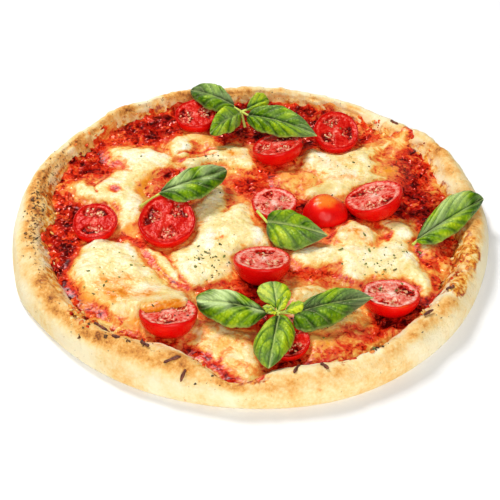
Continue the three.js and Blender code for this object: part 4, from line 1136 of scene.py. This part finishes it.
def leaf_sheet(base, tip, left, right, arch, tone, taper, sheen_weight, seed):
    """Leaf: a closed thin section carried along a curved midrib. The blade reaches from the midrib towards
    each side point by a width that is a power of a sine, blunter or longer at its ends by the taper. Its
    halves arch up, the side veins slant to the tip as grooves, the leaf swells between them, and a groove
    runs beside the midrib. A painted sheen lies on one half, near the midrib on the other and at the tip of
    long-tipped leaves; the tone is painted lighter on the arched halves and swells and darker beside the
    veins and in the groove."""
    base, tip, left, right = (np.array(p, float) for p in (base, tip, left, right))
    span = np.linalg.norm(tip - base)
    rows, columns = LEAF_GRID if span > YOUNG_LEAF else YOUNG_LEAF_GRID
    along = np.linspace(0, 1, rows)[:, None]
    side = np.linspace(1, -1, columns)[None, :]
    high = (base + tip) / 2 + [0, 0, arch]

    def midrib(u):
        """Point of the parabola from base to tip that the high point pulls up."""
        return base * (1 - u) ** 2 + high * 2 * u * (1 - u) + tip * u ** 2

    heart = midrib(np.array([[LEAF_WIDEST]]))[0]
    power = np.log(0.5) / np.log(LEAF_WIDEST - 0.06 * taper)
    blunt = (0.7 - 0.25 * taper) * (1 - along) + (0.7 + 0.35 * taper) * along
    width = np.maximum(0.04, np.sin(np.pi * along ** power) ** blunt)
    out = np.where(side[..., None] > 0, left - heart, right - heart)
    reach = np.abs(side)
    blade = midrib(along[..., None]) + out * (reach * width)[..., None]
    # Swells, veins and grooves
    wave = 0.6 * np.sin(6 * np.pi * along) * side ** 2 * width
    veins = max(3, round(span / VEIN_SPACING))
    phase = veins * (along - 0.42 * reach ** 1.15) + np.where(side > 0, 0.0, 0.35)
    between = 1 - (2 * np.abs(phase % 1 - 0.5)) ** 3
    away = side * np.sign(sheen_weight) * np.linalg.norm(out, axis=-1) * width
    rib = np.exp(-((away + 0.2) / 0.5) ** 2)
    groove = np.exp(-((away - 0.9) / 0.6) ** 2) * (1 - 0.7 * along)
    half_arch = np.sin(np.pi * reach ** 1.25) * width
    puff = min(1.0, span / 30)
    lift = puff * (3.2 * half_arch + 1.2 * between * np.sin(np.pi * reach) ** 0.6 * width - 0.7 * groove)
    curl = -0.8 * puff * reach ** 6 * width
    ripple = 0.2 * np.sin(2 * np.pi * (9 * along + 0.2 * np.sign(side))) * reach ** 4 * width * puff
    blade[..., 2] += wave + lift + curl + ripple
    # Thickness
    normal = unit(np.cross(np.gradient(blade, axis=0), -np.gradient(blade, axis=1)))
    thick = LEAF_HALF_THICKNESS * np.sqrt(np.clip(1.04 - side ** 2, 0, 1))[..., None] * np.ones((rows, 1, 1))
    section = np.concatenate([blade + normal * thick, (blade - normal * thick)[:, ::-1]], 1)
    # Values for the finish
    vein = (1 - between) ** 4 * 0.4 * smooth(0.02, 0.2, reach) * (1 - smooth(0.75, 1, reach))
    vein = vein + 0.9 * rib + 0.4 * smooth(0.92, 1, reach)
    streaks = field(8 * phase, 1.5 * side + 0 * along, size=1, seed=seed + 7)
    # Painted light and shade in the tone: lighter on the arched halves and the swells between veins, darker
    # on one side of each vein and in the groove beside the midrib
    painted_vein_shade = np.exp(-((phase % 1 - 0.14) / 0.09) ** 2) * smooth(0.03, 0.2, reach)
    shade = tone + 0.22 * half_arch + 0.26 * between * width - 0.23 - 0.2 * painted_vein_shade
    shade = shade + 0.22 * field(along * span, side * span / 3, size=9, seed=seed)
    shade = shade + 0.06 * streaks + 0.12 * smooth(0.7, 1, reach) - 0.6 * groove
    # Painted sheen: a pale highlight put into the colour on one half, near the midrib on the other and at
    # long tips
    lit = np.where(away > 0, 0.7 * (1 - smooth(0.85, 1, reach)), 0.8 * (1 - smooth(0.1, 0.75, reach)))
    sheen_patches = 0.6 + 0.35 * streaks + 0.9 * field(along * span, side * 9, size=6, seed=seed + 9)
    painted_sheen = abs(sheen_weight) * lit * np.clip(sheen_patches, 0, 1.3)
    painted_sheen = (1 - groove) * (painted_sheen + 0.4 * max(taper, 0) * smooth(0.6, 1, along) * (0.7 + 0.3 * streaks))
    values = {"vein": (vein, vein), "tone": (shade, shade + 0.12), "painted_sheen": (painted_sheen, painted_sheen)}
    vertices, faces = closed_grid(section)
    return vertices, faces, {label: np.concatenate([above, below[:, ::-1]], 1).ravel()
                             for label, (above, below) in values.items()}


def make_basil(material):
    """Basil sprigs: leaves and stalks, each stalk a tube that thins towards its far end."""
    for number, (name, (heart, foot, leaves)) in enumerate(SPRIGS.items()):
        heart, foot = np.array(heart, float), np.array(foot, float)
        parts = []
        ends = [(foot, heart, STALK_RADIUS)]
        for index, leaf in enumerate(leaves):
            parts.append(leaf_sheet(*leaf, 500 + 20 * number + index))
            base, tip = np.array(leaf[0], float), np.array(leaf[1], float)
            ends.append((heart, base + 2.5 * unit(tip - base) - [0, 0, 0.2], LEAF_STALK_RADIUS))
        for start, end, radius in ends:
            steps = np.linspace(0, 1, 7)[:, None]
            path = start * (1 - steps) + end * steps
            ring = tube(path, radius * (1.1 - 0.25 * steps.ravel()), sides=12)
            vertices, faces = closed_grid(ring)
            count = len(vertices)
            values = {"vein": np.full(count, 0.7), "tone": np.full(count, 1.0), "painted_sheen": np.zeros(count)}
            parts.append((vertices, faces, values))
        vertices, faces, values = joined(parts)
        make_piece("fresh_" + name, vertices, faces, material, ["basil_" + name], values)


# Herbs

def flake_shapes(count, random):
    """Small closed flakes about one unit long: rings of random reach between a top and a bottom point."""
    sides = 7
    turn = np.linspace(0, 2 * np.pi, sides, endpoint=False)
    reach = random.uniform(0.55, 1.25, (count, sides))
    slim = random.uniform(0.35, 0.95, (count, 1))
    across, along = 0.5 * reach * np.cos(turn), 0.5 * slim * reach * np.sin(turn)
    ring = np.stack([across, along, 0.5 * across ** 2], -1)
    ends = np.tile(np.array([[0, 0, 0.16], [0, 0, -0.08]]), (count, 1, 1))
    here = np.arange(sides)
    ahead = (here + 1) % sides
    top = np.stack([here, ahead, np.full(sides, sides)], -1)
    bottom = np.stack([ahead, here, np.full(sides, sides + 1)], -1)
    return np.concatenate([ring, ends], 1), np.concatenate([top, bottom]).tolist()


# Where flakes lie: middle, half size, how many, smallest and largest flake, darkest tone
HERB_PLACES = [((76, -40), (18, 20), 46, 0.9, 3.2, 0.6), ((-22, -40), (12, 12), 44, 0.8, 3.0, 0.6),
               ((-75, -50), (20, 24), 26, 0.8, 2.6, 0.6), ((0, -10), (80, 80), 70, 0.5, 1.7, 0.8),
               ((60, 52), (20, 14), 28, 0.6, 1.9, 0.8), ((-20, 58), (22, 10), 22, 0.6, 1.9, 0.8),
               ((20, 76), (10, 10), 22, 0.7, 2.0, 0.95), ((-43, -90), (10, 5), 18, 0.7, 2.0, 0.95),
               ((72, 12), (10, 8), 14, 0.6, 1.6, 0.95), ((4, -42), (10, 7), 16, 0.6, 1.6, 0.95),
               ((75, -68), (9, 7), 12, 0.6, 1.6, 0.9), ((52, 80), (9, 10), 18, 0.7, 2.0, 0.95),
               ((40, -88), (16, 9), 26, 0.7, 2.0, 0.95), ((62, -113.5), (3, 2), 8, 1.6, 3.4, 1.0)]
# Burnt crumbs on the rim: middle, half size, how many, smallest and largest crumb, darkest tone
CRUMB_PLACES = [((-124, 2), (6, 16), 64, 0.7, 3.0, 0.95), ((-124, -30), (6, 12), 40, 0.7, 2.8, 0.95),
                ((-119, 42), (6, 14), 12, 0.6, 1.6, 0.85), ((-112, -62), (8, 18), 18, 0.6, 2.0, 0.9),
                ((-84, -98), (14, 10), 20, 0.8, 3.0, 0.95), ((-60, -112), (12, 8), 12, 0.8, 2.8, 0.95),
                ((-20, -134), (10, 3), 5, 0.8, 2.6, 1.0), ((-90, 90), (22, 18), 10, 0.5, 1.5, 0.8),
                ((0, 131), (60, 4), 10, 0.5, 1.5, 0.8), ((96, 92), (16, 12), 8, 0.6, 1.7, 0.9),
                ((122, 46), (6, 20), 10, 0.6, 1.6, 0.9), ((95, -88), (12, 10), 10, 0.6, 2.0, 0.95),
                ((62, -113.5), (7, 3), 8, 1.0, 3.2, 1.0)]
# Bits of sauce and cheese that spattered onto the rim: middle, half size, how many
SPATTER = [((-25, -122), (12, 6), 26), ((50, -112), (14, 6), 24), ((116, -44), (7, 20), 34),
           ((-88, -88), (10, 10), 24), ((-113, -18), (5, 22), 22), ((92, -88), (12, 8), 14),
           ((104, 60), (7, 16), 16), ((-72, 102), (18, 7), 16), ((-106, 62), (8, 14), 14),
           ((84, 90), (14, 8), 14)]


def scattered(places, random):
    """Random places in oval clouds: the points, and which cloud each belongs to."""
    counts = [place[2] for place in places]
    owner = np.repeat(np.arange(len(places)), counts)
    middle = np.array([place[0] for place in places], float)[owner]
    half = np.array([place[1] for place in places], float)[owner]
    return middle + half * np.clip(random.normal(0, 0.6, (len(owner), 2)), -1.4, 1.4), owner


def make_herbs(material, top, side):
    """Herb flakes and burnt crumbs: oval clouds of random places, each lying on what is highest there."""
    for name, places, seed, slot, pale in [("herb_flakes", HERB_PLACES, 211, "basil", 0.1),
                                           ("burnt_crumbs", CRUMB_PLACES, 223, "crust", 0.62)]:
        random = np.random.default_rng(seed)
        middles, owner = scattered(places, random)
        kept = across_rim(middles[:, 0], middles[:, 1]) > 0.14
        middles, owner = middles[kept], owner[kept]
        small, large, dark = (np.array([place[k] for place in places])[owner] for k in (3, 4, 5))
        count = len(owner)
        sizes = small + (large - small) * random.uniform(0, 1, count) ** 2
        shapes, faces = flake_shapes(count, random)
        rise = sampled(top, side, middles[:, 0], middles[:, 1]) + 0.12
        groups = turned_about(shapes * sizes[:, None, None], random.uniform(0, 2 * np.pi, count),
                              random.uniform(-0.35, 0.35, (count, 2)))
        groups = groups + np.concatenate([middles, rise[:, None]], 1)[:, None]
        make_many(name, groups, faces, material, {"tone": random.uniform(pale, dark)})


def make_spatter(material, top, side):
    """Spatter: small flattened balls on the rim, each with its own share of cheese over the sauce."""
    random = np.random.default_rng(233)
    middles, _ = scattered(SPATTER, random)
    across = across_rim(middles[:, 0], middles[:, 1])
    middles = middles[(across > 0.4) & (across < 1.05)]
    count = len(middles)
    rise = sampled(top, side, middles[:, 0], middles[:, 1]) - 0.15
    values = {"cover": random.uniform(0.0, 0.75, count), "toast_and_shade": random.uniform(0.0, 0.3, count)}
    middles = np.concatenate([middles, rise[:, None]], 1)
    scatter_balls("sauce_spatter", middles, SPATTER_SIZE, material, seed=241, values=values)


def make_sticks(material):
    """Herb stalks that lie on the rim, a little sunk into it: tubes with a slight bend, an uneven radius
    and rounded ends."""
    parts = []
    steps = np.linspace(-0.5, 0.5, 13)
    for number, ((at_x, at_y), turn, long) in enumerate(STICKS):
        way = np.radians(turn)
        bend = 0.5 * np.cos(2 * steps + number)
        x = at_x + steps * long * np.cos(way) - bend * np.sin(way)
        y = at_y + steps * long * np.sin(way) + bend * np.cos(way)
        z = rim_height_at(x, y) + 0.7
        round_end = np.sqrt(np.clip(1 - (2 * np.abs(steps)) ** 8, 0.05, 1))
        radii = STICK_RADIUS * (0.95 + 0.15 * np.sin(9 * steps + 2 * number)) * round_end
        vertices, faces = closed_grid(tube(np.stack([x, y, z], -1), radii, sides=10))
        parts.append((vertices, faces, {}))
    vertices, faces, _ = joined(parts)
    make_piece("herb_stalks", vertices, faces, material, ["crust"])


# The object

make_crust(bread_material())
pools_on_grid, cheese_cover = cheese_map()
sauce_finish = sauce_material()
make_sauce(sauce_finish, cheese_cover, square_grid()[0])
make_tomatoes(tomato_material(), seed_material())
surface, surface_side = make_cheese(cheese_material(), pools_on_grid, cheese_cover)
make_basil(basil_material())
make_spatter(sauce_finish, surface, surface_side)
make_herbs(herb_material(), surface, surface_side)
make_sticks(stick_material())


# Stage: white paper, soft light from the back left, a camera 41 degrees above the table

def make_stage():
    """Square of white paper that the object stands on, with its corners given in metres."""
    floor_mesh = bpy.data.meshes.new("floor")
    reach = 6
    corners = [(-reach, -reach, 0), (reach, -reach, 0), (reach, reach, 0), (-reach, reach, 0)]
    floor_mesh.from_pydata(corners, [], [(0, 1, 2, 3)])
    floor_mesh.materials.append(floor_material())
    floor = bpy.data.objects.new("floor", floor_mesh)
    bpy.context.scene.collection.objects.link(floor)


def add_lamp(name, location, size, power):
    """Square soft light that faces the origin."""
    lamp = bpy.data.lights.new(name, "AREA")
    lamp.size = size
    lamp.energy = power
    holder = bpy.data.objects.new(name, lamp)
    holder.location = location
    way = -np.array(location, float)
    flat = np.hypot(way[0], way[1])
    holder.rotation_euler = (np.arctan2(flat, -way[2]), 0, np.arctan2(way[1], way[0]) - np.pi / 2)
    bpy.context.scene.collection.objects.link(holder)


def make_camera():
    """Camera of the photograph: it looks along Y and down at its aim on the table."""
    elevation = np.radians(CAMERA_ELEVATION)
    back, up = CAMERA_DISTANCE * np.cos(elevation), CAMERA_DISTANCE * np.sin(elevation)
    camera = bpy.data.cameras.new("camera")
    camera.sensor_width = SENSOR_WIDTH
    camera.lens = FOCAL_SHARE * SENSOR_WIDTH
    holder = bpy.data.objects.new("camera", camera)
    holder.location = (CAMERA_AIM[0] * MM, (CAMERA_AIM[1] - back) * MM, up * MM)
    holder.rotation_euler = (np.pi / 2 - elevation, 0, 0)
    bpy.context.scene.collection.objects.link(holder)
    bpy.context.scene.camera = holder


make_stage()
add_lamp("key", location=(-0.47, 0.66, 1.05), size=0.4, power=14.5)
add_lamp("fill", location=(0.15, -1.15, 0.75), size=1.0, power=15.5)
world = bpy.data.worlds.new("studio")
world.use_nodes = True
world.node_tree.nodes["Background"].inputs["Color"].default_value = (1, 1, 1, 1)
world.node_tree.nodes["Background"].inputs["Strength"].default_value = 0.14
bpy.context.scene.world = world
bpy.context.scene.view_settings.view_transform = "Standard"
make_camera()
